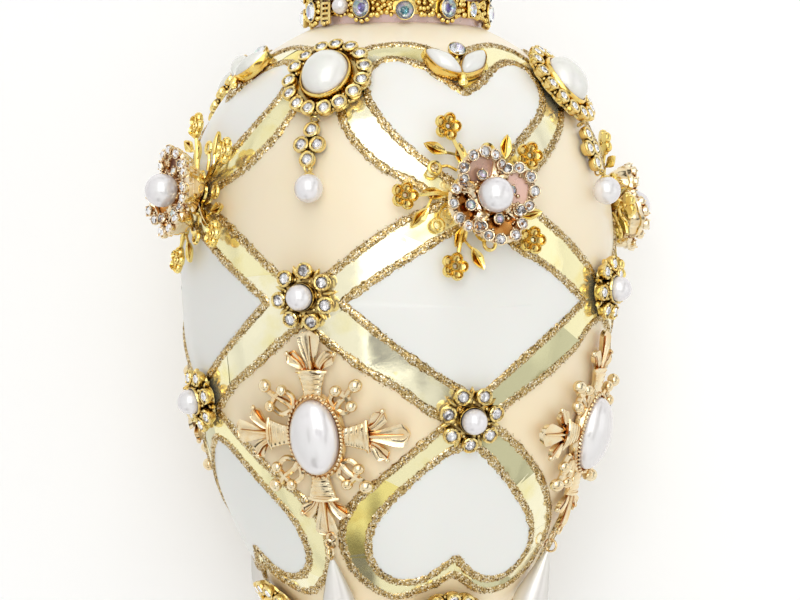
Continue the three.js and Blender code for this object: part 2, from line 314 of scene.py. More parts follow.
# A cut stone's rings, each as shares of its radius: how far out, and how high above the girdle.
GEM_TABLE = (0.5, 0.42)
GEM_STARS = (0.8, 0.25)
GEM_POINT = -0.62
FOIL_RIM = (1.03, -0.03)
FOIL_INNER = (0.5, -0.36)
FOIL_POINT = -0.7
HEART_RIM = (0.42, -0.41)
HEART_POINT = -0.66


def gem_ring(radius, count, ring, turn=0.0):
    share, height = ring
    return ring_of(share * radius, even_angles(count, turn), height * radius)


def gem_glass(radius):
    """The glass of a cut stone, its girdle at height 0."""
    points = np.vstack([gem_ring(radius, 8, GEM_TABLE), gem_ring(radius, 8, GEM_STARS, 0.5),
                        gem_ring(radius, 16, (1, 0)), [[0, 0, GEM_POINT * radius]]])
    stars, girdle, point = 8, 16, 32
    faces = [tuple(range(stars))]
    for i in range(8):
        after = (i + 1) % 8
        corner, middle, end = (girdle + (2 * i + k) % 16 for k in range(3))
        faces.append((i, stars + i, after))
        faces.append((stars + i, stars + after, after))
        faces.append((stars + i, corner, middle))
        faces.append((stars + i, middle, end))
        faces.append((stars + i, end, stars + after))
    for i in range(16):
        faces.append((girdle + (i + 1) % 16, girdle + i, point))
    return Shape(points, faces, False)


def gem_foil(radius):
    """The mirror foil behind a stone."""
    points = np.vstack([gem_ring(radius, 16, FOIL_RIM), gem_ring(radius, 8, FOIL_INNER, 0.25),
                        [[0, 0, FOIL_POINT * radius]]])
    inner, point = 16, 24
    faces = []
    for i in range(8):
        after = (i + 1) % 8
        corner, middle, end = ((2 * i + k) % 16 for k in range(3))
        faces.append((corner, middle, inner + i))
        faces.append((middle, end, inner + i))
        faces.append((inner + i, end, inner + after))
        faces.append((inner + i, inner + after, point))
    return Shape(points, faces, False)


def gem_painted_dark_centre(radius):
    """The small deep-toned cone that shows at the middle of a large coated stone: painted reflection, the
    dark a stone's middle mirrors, in the coating's colour.
    """
    points = np.vstack([gem_ring(radius, 8, HEART_RIM), [[0, 0, HEART_POINT * radius]]])
    return Shape(points, [((i + 1) % 8, 8, i) for i in range(8)], False)


def cup(radius, height, rim):
    """A metal cup for a stone of that radius, its rounded rim at that height."""
    outer = radius + rim
    rings = [[0.72 * outer, 0], [0.84 * outer, 0.25 * height], [outer - 0.06, 0.6 * height]]
    for degrees in (0, 40, 80, 120, 170):
        a = math.radians(degrees)
        rings.append([radius + rim * (0.5 + 0.5 * math.cos(a)), height - 0.12 + 0.58 * rim * math.sin(a)])
    rings.append([0.4 * radius, height - 0.78 * radius])
    return dish(16, round_outline(1), rings)


class Jewel:
    """The shapes of one jewel in its own tangent frame, by part and finish."""

    def __init__(self):
        self.shapes = []

    def add(self, part, finish, *shapes):
        self.shapes += [(part, finish, shape) for shape in shapes]

    def part(self, part):
        return [(finish, shape) for kind, finish, shape in self.shapes if kind == part]

    def changed(self, change):
        """The same jewel with each of its shapes changed in one way."""
        made = Jewel()
        made.shapes = [(part, finish, change(shape)) for part, finish, shape in self.shapes]
        return made

    def stone(self, x, y, base, radius, height, metal="brass", glass="crystal",
              prongs=0, lean=(0.0, 0.0), turn=0.0, rim=0.36, heart=None):
        """A stone in its cup, leaning by (degrees, towards this direction)."""
        whole = [("setting", metal, cup(radius, height, rim)),
                 ("stones", glass, gem_glass(radius).turn(turn).move(z=height)),
                 ("setting", "foil_" + glass, gem_foil(radius).turn(turn).move(z=height))]
        # The heart cone is painted reflection: the dark middle of a coated stone, in the coating's colour.
        if heart:
            whole.append(("setting", heart, gem_painted_dark_centre(radius).move(z=height)))
        for i in range(prongs):
            claw = ball(0.24 * radius, 6, 4).stretch(1.25, 0.9, 1.1)
            claw = claw.move(radius + 0.4 * rim, 0, height + 0.2 * radius)
            whole.append(("setting", metal, claw.turn(turn + 360 * (i + 0.5) / prongs)))
        for part, finish, shape in whole:
            tilted = shape.turn(-lean[1]).turn(lean[0], "Y").turn(lean[1])
            self.add(part, finish, tilted.move(x, y, base))


# Finishes

FLOAT, COLOUR = "NodeSocketFloat", "NodeSocketColor"
WHITE = (1.0, 1.0, 1.0, 1.0)
GREY = (0.5, 0.5, 0.5, 1.0)
BLACK = (0.0, 0.0, 0.0, 1.0)


def srgb(red, green, blue):
    """A colour by its screen values, 0 to 255, as the linear colour that shaders take."""
    return tuple(((v / 255 + 0.055) / 1.055) ** 2.4 if v > 10 else v / 255 / 12.92
                 for v in (red, green, blue)) + (1.0,)


def set_inputs(node, **inputs):
    """Gives each named input a plain value, or leads another node's output into it."""
    for label, value in inputs.items():
        socket = node.inputs[label.replace("_", " ")]
        if isinstance(value, bpy.types.NodeSocket):
            node.id_data.links.new(value, socket)
        else:
            socket.default_value = value


def add_node(tree, kind, **inputs):
    node = tree.nodes.new("ShaderNode" + kind)
    set_inputs(node, **inputs)
    return node


def mixed(tree, share, first, second):
    """Two colours mixed, by how much of the second."""
    node = tree.nodes.new("ShaderNodeMix")
    node.data_type = "RGBA"
    set_inputs(node, Factor=share, A=first, B=second)
    return node.outputs["Result"]


def spread(tree, value, low, high, new_low=0.0, new_high=1.0):
    """A value brought from one range to another."""
    node = add_node(tree, "MapRange", Value=value, From_Min=low, From_Max=high,
                    To_Min=new_low, To_Max=new_high)
    return node.outputs["Result"]


def place_on(tree):
    """Where a point lies on the piece, in metres."""
    return add_node(tree, "TexCoord").outputs["Object"]


def soft_noise(tree, scale, detail):
    return add_node(tree, "TexNoise", Vector=place_on(tree), Scale=scale, Detail=detail).outputs["Fac"]


def group(name, inputs, **outputs):
    """A new shader node group; returns its tree, its inputs as they come in, and its end node."""
    tree = bpy.data.node_groups.new(name, "ShaderNodeTree")
    for label, value in inputs.items():
        kind = FLOAT if isinstance(value, float) else COLOUR
        socket = tree.interface.new_socket(label, in_out="INPUT", socket_type=kind)
        socket.default_value = value
    for label, kind in outputs.items():
        tree.interface.new_socket(label, in_out="OUTPUT", socket_type=kind)
    given = tree.nodes.new("NodeGroupInput").outputs
    return tree, given, tree.nodes.new("NodeGroupOutput")


def mottle_group():
    """Two colours mixed in soft clouds."""
    inputs = {"Colour A": WHITE, "Colour B": BLACK, "Scale": 100.0, "Low": 0.35, "High": 0.65}
    tree, given, out = group("mottle", inputs, Colour=COLOUR)
    share = spread(tree, soft_noise(tree, given["Scale"], 3.0), given["Low"], given["High"])
    set_inputs(out, Colour=mixed(tree, share, given["Colour A"], given["Colour B"]))
    return tree


def grain_group():
    """Fine cast or rubbed grain, as a height, with a roughness that follows it."""
    inputs = {"Scale": 2000.0, "Rough low": 0.2, "Rough high": 0.4}
    tree, given, out = group("grain", inputs, Height=FLOAT, Roughness=FLOAT)
    height = soft_noise(tree, given["Scale"], 4.0)
    rough = spread(tree, height, 0.3, 0.7, given["Rough low"], given["Rough high"])
    set_inputs(out, Height=height, Roughness=rough)
    return tree


def flake_group():
    """One of three colours and a roughness for each small cell, as glitter has; on foil these colours are
    painted reflection.
    """
    inputs = {"Scale": 3000.0, "Dark": BLACK, "Middle": GREY, "Bright": WHITE}
    tree, given, out = group("flakes", inputs, Colour=COLOUR, Roughness=FLOAT)
    cells = add_node(tree, "TexVoronoi", Vector=place_on(tree), Scale=given["Scale"])
    parts = add_node(tree, "SeparateColor", Color=cells.outputs["Color"]).outputs
    low = mixed(tree, spread(tree, parts["Red"], 0.12, 0.3), given["Dark"], given["Middle"])
    high = mixed(tree, spread(tree, parts["Green"], 0.7, 0.85), low, given["Bright"])
    rough = spread(tree, parts["Blue"], 0.0, 1.0, 0.12, 0.45)
    set_inputs(out, Colour=high, Roughness=rough)
    return tree


def rainbow_group():
    """Soft pink, green, blue and yellow clouds over a base colour, as nacre and coated glass have."""
    inputs = {"Base": WHITE, "Scale": 300.0, "Strength": 0.2, "Turns": 2.0, "Saturation": 0.6}
    tree, given, out = group("rainbow", inputs, Colour=COLOUR)
    turns = tree.nodes.new("ShaderNodeMath")
    turns.operation = "MULTIPLY"
    tree.links.new(soft_noise(tree, given["Scale"], 2.0), turns.inputs[0])
    tree.links.new(given["Turns"], turns.inputs[1])
    hue = tree.nodes.new("ShaderNodeMath")
    hue.operation = "FRACT"
    tree.links.new(turns.outputs[0], hue.inputs[0])
    tint = tree.nodes.new("ShaderNodeCombineColor")
    tint.mode = "HSV"
    set_inputs(tint, Red=hue.outputs[0], Green=given["Saturation"], Blue=1.0)
    colour = mixed(tree, given["Strength"], given["Base"], tint.outputs["Color"])
    set_inputs(out, Colour=colour)
    return tree


def painted_shade_group():
    """Painted shade: a colour that turns to a dark tone in the crevices, where ambient occlusion finds them.
    """
    inputs = {"Colour": WHITE, "Dark": BLACK, "Low": 0.35, "High": 0.85}
    tree, given, out = group("painted_shade", inputs, Colour=COLOUR)
    # Ambient occlusion marks the crevices, where the dark painted shade colour is mixed in.
    near = add_node(tree, "AmbientOcclusion", Distance=0.0011)
    near.samples = 4
    share = spread(tree, near.outputs["AO"], given["Low"], given["High"])
    set_inputs(out, Colour=mixed(tree, share, given["Dark"], given["Colour"]))
    return tree


def fade_group():
    """One colour that fades into another along the floor's Y, which runs up the egg."""
    inputs = {"Colour A": WHITE, "Colour B": BLACK, "From": 0.0, "To": 1.0}
    tree, given, out = group("fade", inputs, Colour=COLOUR)
    parts = add_node(tree, "SeparateXYZ", Vector=place_on(tree)).outputs
    share = spread(tree, parts["Y"], given["From"], given["To"])
    set_inputs(out, Colour=mixed(tree, share, given["Colour A"], given["Colour B"]))
    return tree


MOTTLE = mottle_group()
GRAIN = grain_group()
FLAKES = flake_group()
RAINBOW = rainbow_group()
PAINTED_SHADE = painted_shade_group()
FADE = fade_group()


class Finish:
    """One material, built round a Principled shader."""

    def __init__(self, name, **plain):
        self.material = bpy.data.materials.new(name)
        self.material.use_nodes = True
        self.tree = self.material.node_tree
        self.shader = self.tree.nodes["Principled BSDF"]
        set_inputs(self.shader, **plain)

    def use(self, effect, **inputs):
        """Places a node group in the material and returns what it puts out."""
        node = self.tree.nodes.new("ShaderNodeGroup")
        node.node_tree = effect
        set_inputs(node, **inputs)
        return node.outputs

    def feed(self, **inputs):
        set_inputs(self.shader, **inputs)
        return self.material

    def bump(self, height, strength, distance):
        node = add_node(self.tree, "Bump", Strength=strength, Distance=distance, Height=height)
        self.feed(Normal=node.outputs["Normal"])


def enamel(name, colour, shade, low_colour):
    """Brushed-on paint, rubbed to a soft gloss, with faint clouds, and warmer towards the tip: partly the
    paint's own warmth and partly painted light, the colours down the egg set to even out how the lamps fall
    on it.
    """
    finish = Finish(name, Coat_Weight=0.25, Coat_Roughness=0.22, Subsurface_Weight=0.08,
                    Subsurface_Scale=0.004, IOR=1.5)
    clouds = finish.use(MOTTLE, Colour_A=colour, Colour_B=shade, Scale=70.0, Low=0.3, High=0.75)
    # Painted light in part: the fade's two colours even out how the lamps fall from the tip to the collar.
    fade = finish.use(FADE, Colour_A=low_colour, Colour_B=clouds["Colour"], From=-0.035, To=0.07)
    grain = finish.use(GRAIN, Scale=420.0, Rough_low=0.28, Rough_high=0.42)
    finish.bump(grain["Height"], 0.06, 0.0002)
    return finish.feed(Base_Color=fade["Colour"], Roughness=grain["Roughness"])


def metal(name, colour, deep, dark, low, high):
    """Plated metal, richer in clouds, with painted shade that darkens it in its crevices, and a fine cast
    grain.
    """
    finish = Finish(name, Metallic=1.0)
    clouds = finish.use(MOTTLE, Colour_A=colour, Colour_B=deep, Scale=450.0, Low=0.4, High=0.75)
    # Painted shade: the metal's dark colour darkens its crevices.
    painted_shade = finish.use(PAINTED_SHADE, Colour=clouds["Colour"], Dark=dark)
    grain = finish.use(GRAIN, Scale=2700.0, Rough_low=low, Rough_high=high)
    finish.bump(grain["Height"], 0.12, 0.00012)
    return finish.feed(Base_Color=painted_shade["Colour"], Roughness=grain["Roughness"])


def mirror_leaf(name, colour, deep):
    """The mirror-gold leaf of the bands."""
    finish = Finish(name, Metallic=0.82)
    clouds = finish.use(MOTTLE, Colour_A=colour, Colour_B=deep, Scale=130.0, Low=0.52, High=0.74)
    grain = finish.use(GRAIN, Scale=260.0, Rough_low=0.06, Rough_high=0.18)
    finish.bump(grain["Height"], 0.06, 0.0004)
    return finish.feed(Base_Color=clouds["Colour"], Roughness=grain["Roughness"])


def glitter(name, dark, middle, bright):
    finish = Finish(name, Metallic=1.0)
    flakes = finish.use(FLAKES, Scale=3600.0, Dark=dark, Middle=middle, Bright=bright)
    return finish.feed(Base_Color=flakes["Colour"], Roughness=flakes["Roughness"])


def pearl(name, colour, edge, rough, strength, scale=160.0, metallic=0.28, coat=0.4,
          coat_rough=0.2, coat_ior=1.5):
    """Pearl lacquer: a bright body with painted shade that greys it towards its edge, with a faint play of
    colour.
    """
    finish = Finish(name, Coat_Weight=coat, Coat_Roughness=coat_rough, Coat_IOR=coat_ior,
                    Metallic=metallic, IOR=1.6)
    play = finish.use(RAINBOW, Base=colour, Scale=scale, Strength=strength, Turns=2.0, Saturation=0.3)
    grain = finish.use(GRAIN, Scale=500.0, Rough_low=rough - 0.02, Rough_high=rough + 0.03)
    # Painted shade: by facing, the body greys towards its edge, where the surface turns away.
    facing = add_node(finish.tree, "LayerWeight", Blend=0.42).outputs["Facing"]
    painted_edge_shade = mixed(finish.tree, facing, play["Colour"], edge)
    return finish.feed(Base_Color=painted_edge_shade, Roughness=grain["Roughness"])


def crystal(name, tint, strength):
    finish = Finish(name, Transmission_Weight=1.0, Roughness=0.0, IOR=1.55, Metallic=0.0)
    play = finish.use(RAINBOW, Base=tint, Scale=900.0, Strength=strength, Turns=4.0, Saturation=0.5)
    return finish.feed(Base_Color=play["Colour"])


def foil(name, dark, middle, bright, strength, metallic=0.45):
    """The mirror foil behind a stone, each facet its own tone, as painted reflection: the dark and bright
    tones stand for the dark and bright facets that a cut stone mirrors.
    """
    finish = Finish(name, Metallic=metallic)
    flakes = finish.use(FLAKES, Scale=1500.0, Dark=dark, Middle=middle, Bright=bright)
    play = finish.use(RAINBOW, Base=flakes["Colour"], Scale=480.0, Strength=strength, Turns=4.0,
                      Saturation=0.8)
    return finish.feed(Base_Color=play["Colour"], Roughness=flakes["Roughness"])


FINISHES = {
    # Each enamel: its colour, a second colour for its clouds, and its tip colour, partly painted light.
    "cream": enamel("cream_enamel", srgb(252, 239, 211), srgb(254, 243, 221), srgb(254, 234, 196)),
    "white": enamel("white_enamel", srgb(243, 241, 234), srgb(247, 246, 241), srgb(241, 241, 235)),
    "leaf": mirror_leaf("mirror_leaf", srgb(248, 240, 190), srgb(244, 228, 148)),
    "leaf_pale": mirror_leaf("mirror_leaf_pale", srgb(250, 244, 210), srgb(246, 236, 176)),
    "leaf_deep": mirror_leaf("mirror_leaf_deep", srgb(246, 230, 140), srgb(234, 200, 92)),
    # The dull leaf's darker colours are painted reflection: strips that mirror something dark.
    "leaf_painted_dark_reflection": mirror_leaf("mirror_leaf_painted_dark_reflection", srgb(206, 202, 160), srgb(160, 154, 104)),
    "glitter": glitter("gold_glitter", srgb(112, 84, 40), srgb(200, 172, 112), srgb(250, 240, 212)),
    # Each metal: its colour, a deeper tone for its clouds, the painted shade colour for its crevices, and its
    # roughness range.
    "brass": metal("brass_gold", srgb(246, 224, 152), srgb(232, 192, 104), srgb(92, 58, 16), 0.05, 0.16),
    "rich": metal("rich_gold", srgb(254, 231, 146), srgb(244, 210, 112), srgb(160, 104, 18), 0.05, 0.16),
    "champagne": metal("champagne_gold", srgb(244, 228, 190), srgb(238, 206, 150), srgb(196, 138, 66),
                       0.05, 0.17),
    "pale": metal("pale_beads", srgb(250, 236, 204), srgb(242, 216, 166), srgb(176, 120, 58), 0.05, 0.16),
    "bezel": metal("orange_gold", srgb(250, 222, 132), srgb(240, 188, 84), srgb(170, 98, 20), 0.06, 0.16),
    # Amber gold colours the twin leaf's veins, and is painted shadow inside two rose petals.
    "amber_and_painted_shadow": metal("amber_gold", srgb(214, 154, 84), srgb(186, 116, 48), srgb(110, 56, 14), 0.12, 0.28),
    # For each pearl, the second colour is the painted shade at its edge.
    "pearl": pearl("round_pearl", srgb(244, 242, 241), srgb(212, 205, 208), 0.24, 0.02, metallic=0.2,
                   coat=1.0, coat_rough=0.1, coat_ior=1.9),
    "long_pearl": pearl("long_pearl", srgb(246, 244, 243), srgb(204, 197, 195), 0.24, 0.02,
                        coat=1.0, coat_rough=0.1, coat_ior=1.8),
    "satin_pearl": pearl("satin_pearl", srgb(244, 241, 234), srgb(190, 186, 176), 0.3, 0.03,
                         metallic=0.3, coat=0.5),
    "opal": pearl("opal_pearl", srgb(248, 248, 242), srgb(212, 212, 198), 0.3, 0.05, scale=260.0,
                  metallic=0.1, coat=1.0, coat_rough=0.04),
    "shell": pearl("pink_shell", srgb(214, 172, 150), srgb(176, 120, 92), 0.26, 0.06, scale=300.0),
    "blush": pearl("blush_neck", srgb(228, 200, 194), srgb(200, 168, 162), 0.28, 0.08, scale=120.0,
                   metallic=0.3),
    "crystal": crystal("clear_crystal", WHITE, 0.0),
    "aurora": crystal("aurora_crystal", srgb(244, 248, 250), 0.12),
    # The foils' dark and bright colours are painted reflection of a stone's facets.
    "foil_crystal": foil("clear_foil", srgb(104, 100, 98), srgb(240, 239, 238), WHITE, 0.02),
    "foil_aurora": foil("aurora_foil", srgb(168, 184, 208), srgb(244, 248, 250), WHITE, 0.24, 0.5),
    # The teal and violet heart cones are painted reflection of a coated stone's dark middle.
    "teal_painted_dark_centre": foil("teal_painted_dark_centre", srgb(0, 70, 90), srgb(0, 120, 130), srgb(60, 190, 190), 0.0),
    "violet_painted_dark_centre": foil("violet_painted_dark_centre", srgb(36, 24, 70), srgb(70, 50, 120), srgb(130, 110, 190), 0.0),
}


# Pieces

SOFT_ANGLE = 38


def mesh_piece(name, shapes, nodes=()):
    """One object from (finish, shape) pairs in the egg's frame, laid down in the row frame."""
    mesh = bpy.data.meshes.new(name)
    order = list(dict.fromkeys(finish for finish, _ in shapes))
    points, faces, looks, smooth = [], [], [], []
    count = 0
    for finish, shape in shapes:
        points.append(shape.points)
        faces += [tuple(count + i for i in face) for face in shape.faces]
        looks += [order.index(finish)] * len(shape.faces)
        smooth += [shape.smooth] * len(shape.faces)
        count += len(shape.points)
    row = np.vstack(points) @ ROW[:3, :3].T + ROW[:3, 3]
    row[:, 2] = np.maximum(row[:, 2], 0)
    mesh.from_pydata(row.tolist(), [], faces)
    for finish in order:
        mesh.materials.append(FINISHES[finish])
    mesh.polygons.foreach_set("material_index", looks)
    mesh.polygons.foreach_set("use_smooth", smooth)
    mesh.update()
    mesh.set_sharp_from_angle(angle=math.radians(SOFT_ANGLE))
    piece = bpy.data.objects.new(name, mesh)
    bpy.context.scene.collection.objects.link(piece)
    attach(piece, "root")
    if nodes:
        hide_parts(*nodes)


def laid(shapes, place, bend=0.0):
    return [(finish, shape.lay(place, bend)) for finish, shape in shapes]


def dress(row, name, make, stands_for, bend=0.0):
    """Sets the four jewels of a row. stands_for gives the CAD nodes that each part replaces."""
    axis, height, misses = ROWS[row]
    for quarter, side in enumerate(SIDES[axis]):
        turn, rise = misses[quarter]
        azimuth = axis + 90 * quarter + turn
        place = spot(azimuth, height + rise)
        random.seed(f"{row} {side}")
        jewel = make()
        for part in dict.fromkeys(part for part, _, _ in jewel.shapes):
            shapes = laid(jewel.part(part), place, bend if part == "setting" else 0.0)
            nodes = [f"{node}_{side}" for node in stands_for.get(part, ())]
            mesh_piece(f"{name}_{part}_{side}", shapes, nodes)


# The painted egg

LEVELS_BELOW = 56
LEVELS_ABOVE = 36
EGG_SEGMENTS = 128


def painted_egg():
    levels = np.concatenate([-EGG_BELOW * np.sin(np.linspace(1, 0, LEVELS_BELOW)[1:] * math.pi / 2),
                             SHOULDER_HEIGHT * np.sin(np.linspace(0, 1, LEVELS_ABOVE)[1:] * math.pi / 2)])
    azimuths = np.arange(EGG_SEGMENTS) * 360 / EGG_SEGMENTS
    rings = [on_egg(azimuths, level) for level in levels]
    return loft(rings, (0, 0, -EGG_BELOW), (0, 0, SHOULDER_HEIGHT))


# Each panel of one quarter, by the middles of the two glitter lines that edge its gold band: the
# inner one round the white paint, then the outer one. Each runs from top to bottom down the left
# and the right half, in stretches between corners, as degrees from the heart axis and height.
UPPER_HEART = {
    "left": (
        [[(0, 37), (5.5, 39.5), (11.5, 42.7), (20, 44.6), (26.5, 44.3), (30.5, 42), (31, 39.5), (30, 36),
          (26.5, 32), (22.5, 28.2), (15.5, 23), (7, 17.5), (0, 15)]],
        [[(0, 43), (4.5, 46), (11, 47.5), (19, 48.1), (26, 47.8), (32, 47.2), (37.5, 45), (39.5, 40.5),
          (38.5, 36), (36.3, 31.3), (33, 27), (25, 21), (16, 17.2), (9.5, 13.7), (0, 12)]],
    ),
    "right": (
        [[(0, 37), (6, 39.3), (13.5, 42.5), (22, 44.5), (29.5, 44.3), (33, 42.5), (32, 39.3), (29.3, 35.8),
          (24.2, 32.3), (18.5, 29.3), (9, 23.5), (4, 19.8), (0, 15)]],
        [[(0, 43), (8, 46.8), (20.5, 48.5), (31, 48.2), (38, 46.8), (41.8, 44), (42.4, 40), (39.5, 36),
          (36, 33), (30.5, 29.2), (20, 22.5), (11.5, 17.4), (0, 12)]],
    ),
}
DIAMOND = {
    "left": (
        [[(0, 10.3), (11.2, 5.5), (25, -2), (35, -8)], [(35, -8), (35, -8)],
         [(35, -8), (25, -15), (15, -21.3), (5.5, -26.3), (0, -29)]],
        [[(0, 13.5), (9, 13), (19, 9.5), (28, 4.5), (36, -0.8), (44.5, -5.5)], [(44.5, -5.5), (44.5, -12.5)],
         [(44.5, -12.5), (38, -16.5), (30, -21.6), (21, -26), (11.5, -31.5), (0, -35)]],
    ),
    "right": (
        [[(0, 10.3), (9.3, 4.2), (19.3, -0.2), (34.3, -8)], [(34.3, -8), (34.3, -8)],
         [(34.3, -8), (21, -15.2), (10, -22), (0, -29)]],
        [[(0, 13.5), (11, 13.5), (19, 9.3), (30, 3.2), (44.5, -5.5)], [(44.5, -5.5), (44.5, -11.5)],
         [(44.5, -11.5), (37, -14.2), (31.8, -18), (19.4, -24.6), (8.5, -30), (0, -35)]],
    ),
}
LOWER_HEART = {
    "left": (
        [[(0, -38.5), (5.5, -39.5), (10, -41.7), (19.7, -48.3), (24.5, -52), (28.3, -55.5), (30.5, -59.7),
          (30.6, -64), (28, -67.2), (23, -69.2), (16.3, -69.7), (10.3, -68.8), (5.4, -66.8), (0, -64)]],
        [[(0, -32.5), (5, -33.3), (9, -35), (17.6, -40.8), (27.8, -47.4), (33, -50.6), (36.7, -54.3),
          (39.2, -58), (39.4, -62.2), (37.6, -66.4), (33, -69.8), (26.5, -72.4), (20, -73), (13, -71.7),
          (6, -70.1), (0, -67.7)]],
    ),
    "right": (
        [[(0, -38.5), (4.7, -41), (13.7, -47.3), (20.2, -51.7), (26.2, -55.7), (30.8, -59.7), (33, -63.1),
          (31.2, -66.7), (26, -69.3), (18, -70), (10.2, -68.8), (3.7, -66.4), (0, -64)]],
        [[(0, -32.5), (8.3, -36.2), (13.4, -39), (19.6, -42.7), (27, -47.6), (33.6, -52.5), (38.4, -56.5),
          (41.7, -61), (41.3, -64.6), (39.3, -68.4), (32.5, -71.5), (22.7, -72.8), (13.2, -72), (5.4, -69.5),
          (0, -67.7)]],
    ),
}
# Each panel, the point it domes from, as degrees from the heart axis and height, and its steps.
PANELS = {
    "upper_heart": (UPPER_HEART, (0, 31), 60),
    "diamond": (DIAMOND, (0, -9), 36),
    "lower_heart": (LOWER_HEART, (0, -57), 60),
}
# By how many degrees each lower heart misses its even place.
LOWER_HEART_MISSES = (0, 1, -1, 5.5)
# Half a panel is one stretch, or a long, a short and a long one, with this many steps in the short.
SHORT_STEPS = 3
SAMPLES = 8


def even_steps(line, count):
    """The same line in even steps, by its length on the egg."""
    flat = line * [math.radians(EGG_RADIUS * 0.9), 1]
    lengths = np.concatenate([[0], np.cumsum(np.linalg.norm(np.diff(flat, axis=0), axis=1))])
    if lengths[-1] == 0:
        return np.repeat(line[:1], count + 1, axis=0)
    stops = np.linspace(0, lengths[-1], count + 1)
    return np.stack([np.interp(stops, lengths, line[:, k]) for k in (0, 1)], axis=-1)


def panel_lines(panel, steps, mirrored):
    """The closed inner and outer lines of a panel's band, smooth between its corners."""
    sides = []
    for half in ("right", "left"):
        lines = []
        for stretches in panel[half]:
            counts = {1: (steps,), 3: (steps // 2, SHORT_STEPS, steps // 2)}[len(stretches)]
            made = [even_steps(curve_through(stretch, SAMPLES), count)[:-1]
                    for stretch, count in zip(stretches, counts)]
            lines.append(np.vstack(made + [[stretches[-1][-1]]]))
        sides.append(lines)
    if mirrored:
        sides.reverse()
    right, left = sides
    return [np.vstack([r, l[-2:0:-1] * [-1, 1]]) for r, l in zip(right, left)]


PAINT_LIFT = 0.1
PAINT_EDGE = 0.02
PAINT_RINGS = np.linspace(1, 0.04, 25)


def white_panel(inner, centre, axis):
    """A thin painted cap over the egg between the glitter lines."""
    rings = []
    for share in PAINT_RINGS:
        ring = np.array(centre) + (inner - centre) * share
        lift = PAINT_LIFT if share < 1 else PAINT_EDGE
        rings.append(on_egg(axis + ring[:, 0], ring[:, 1], lift)[::-1])
    middle = on_egg(axis + centre[0], centre[1], PAINT_LIFT)
    return loft(rings, high=middle)


# A strip of leaf: its length in steps of the panel's lines, how far its ends slant and lap, how
# far it lies off the egg, how unevenly it tilts, and how much of the egg's curve it loses.
STRIP_STEPS = (9, 17)
STRIP_LEAST = 7
STRIP_SLANT = 2.5
STRIP_LAP = 0.35
LEAF_LIFT = 0.16
LEAF_UNEVEN = 0.08
UNDER_LIFT = 0.045
LEAF_LOW = 0.06
LEAF_TILT = 0.006
LEAF_FLAT = 0.12
# A few strips take the dull leaf, a painted reflection of something dark in the mirror.
LEAF_KINDS = 6 * ("leaf",) + 5 * ("leaf_pale",) + 2 * ("leaf_deep",) + ("leaf_painted_dark_reflection",)


def gold_band(inner, outer, axis):
    """A band of mirror leaf, laid in short flat strips that meet at slanted joints."""
    count = len(inner)
    shapes = []
    start = 0
    while start < count:
        end = min(start + random.randint(*STRIP_STEPS), count)
        if count - end < STRIP_LEAST:
            end = count
        slant = random.uniform(-STRIP_SLANT, STRIP_SLANT)
        lift = LEAF_LIFT + random.uniform(0, LEAF_UNEVEN)
        rows = []
        for share in (0.0, 0.25, 0.5, 0.75, 1.0):
            shift = slant * (share - 0.5)
            first = start + (shift - STRIP_LAP if start else 0)
            last = end + (shift + STRIP_LAP if end < count else 0)
            steps = np.linspace(first, last, 10)
            edge = inner * (1 - share) + outer * share
            ring = np.vstack([edge, edge[:1]])
            at = np.stack([np.interp(steps % count if end < count else np.minimum(steps, count),
                                     np.arange(count + 1), ring[:, k]) for k in (0, 1)], axis=-1)
            rows.append(on_egg(axis + at[:, 0], at[:, 1], lift))
        patch = np.array(rows)
        flat = patch.reshape(-1, 3)
        centre = flat.mean(axis=0)
        _, _, axes = np.linalg.svd(flat - centre)
        out = axes[2] if axes[2] @ (centre * [1, 1, 0]) > 0 else -axes[2]
        out = out + axes[0] * random.gauss(0, LEAF_TILT) + axes[1] * random.gauss(0, LEAF_TILT)
        out /= np.linalg.norm(out)
        away = (flat - centre) @ out
        settled = flat - out * (away * LEAF_FLAT)[:, None]
        depth = egg_radius(settled[:, 2]) + LEAF_LOW - np.hypot(settled[:, 0], settled[:, 1])
        patch = (settled + out * max(0, depth.max())).reshape(patch.shape)
        strip = loft(patch, around=False)
        normal = np.cross(patch[0, 1] - patch[0, 0], patch[1, 0] - patch[0, 0])
        if normal @ out < 0:
            strip.faces = [face[::-1] for face in strip.faces]
        shapes.append(strip)
        start = end
    return shapes


def underlay(inner, outer, axis):
    """The gold size that shows where two strips of leaf don't quite meet."""
    rows = []
    for share in (0.0, 0.33, 0.67, 1.0):
        edge = inner * (1 - share) + outer * share
        edge = np.vstack([edge, edge[:1]])
        rows.append(on_egg(axis + edge[:, 0], edge[:, 1], UNDER_LIFT))
    skin = loft(rows, around=False)
    skin.faces = [face[::-1] for face in skin.faces]
    return skin


# Glitter

RIDGE_HALF = 0.98
RIDGE_HIGH = 0.5
RIDGE_STEP = 0.9
RIDGE_POINTS = 7
GRAINS_PER_MM = 17.5
GRAIN_SIZE = (0.15, 0.27)
GRAIN_LEAN = 0.42
GRAIN_SPREAD = 0.52
GRAIN_REACH = 1.35


def along_line(line, axis, spacing):
    """Evenly spaced points along a closed line on the egg, with its two side directions."""
    ring = np.vstack([line, line[:1]])
    points = on_egg(axis + ring[:, 0], ring[:, 1])
    lengths = np.linalg.norm(np.diff(points, axis=0), axis=1)
    total = np.concatenate([[0], np.cumsum(lengths)])
    stops = np.arange(0, total[-1], spacing)
    azimuth = axis + np.interp(stops, total, ring[:, 0])
    height = np.interp(stops, total, ring[:, 1])
    base = on_egg(azimuth, height)
    out = egg_normal(azimuth, height)
    forward = np.roll(base, -1, 0) - np.roll(base, 1, 0)
    side = np.cross(forward, out)
    side /= np.linalg.norm(side, axis=1, keepdims=True)
    forward = np.cross(out, side)
    return base, forward, side, out


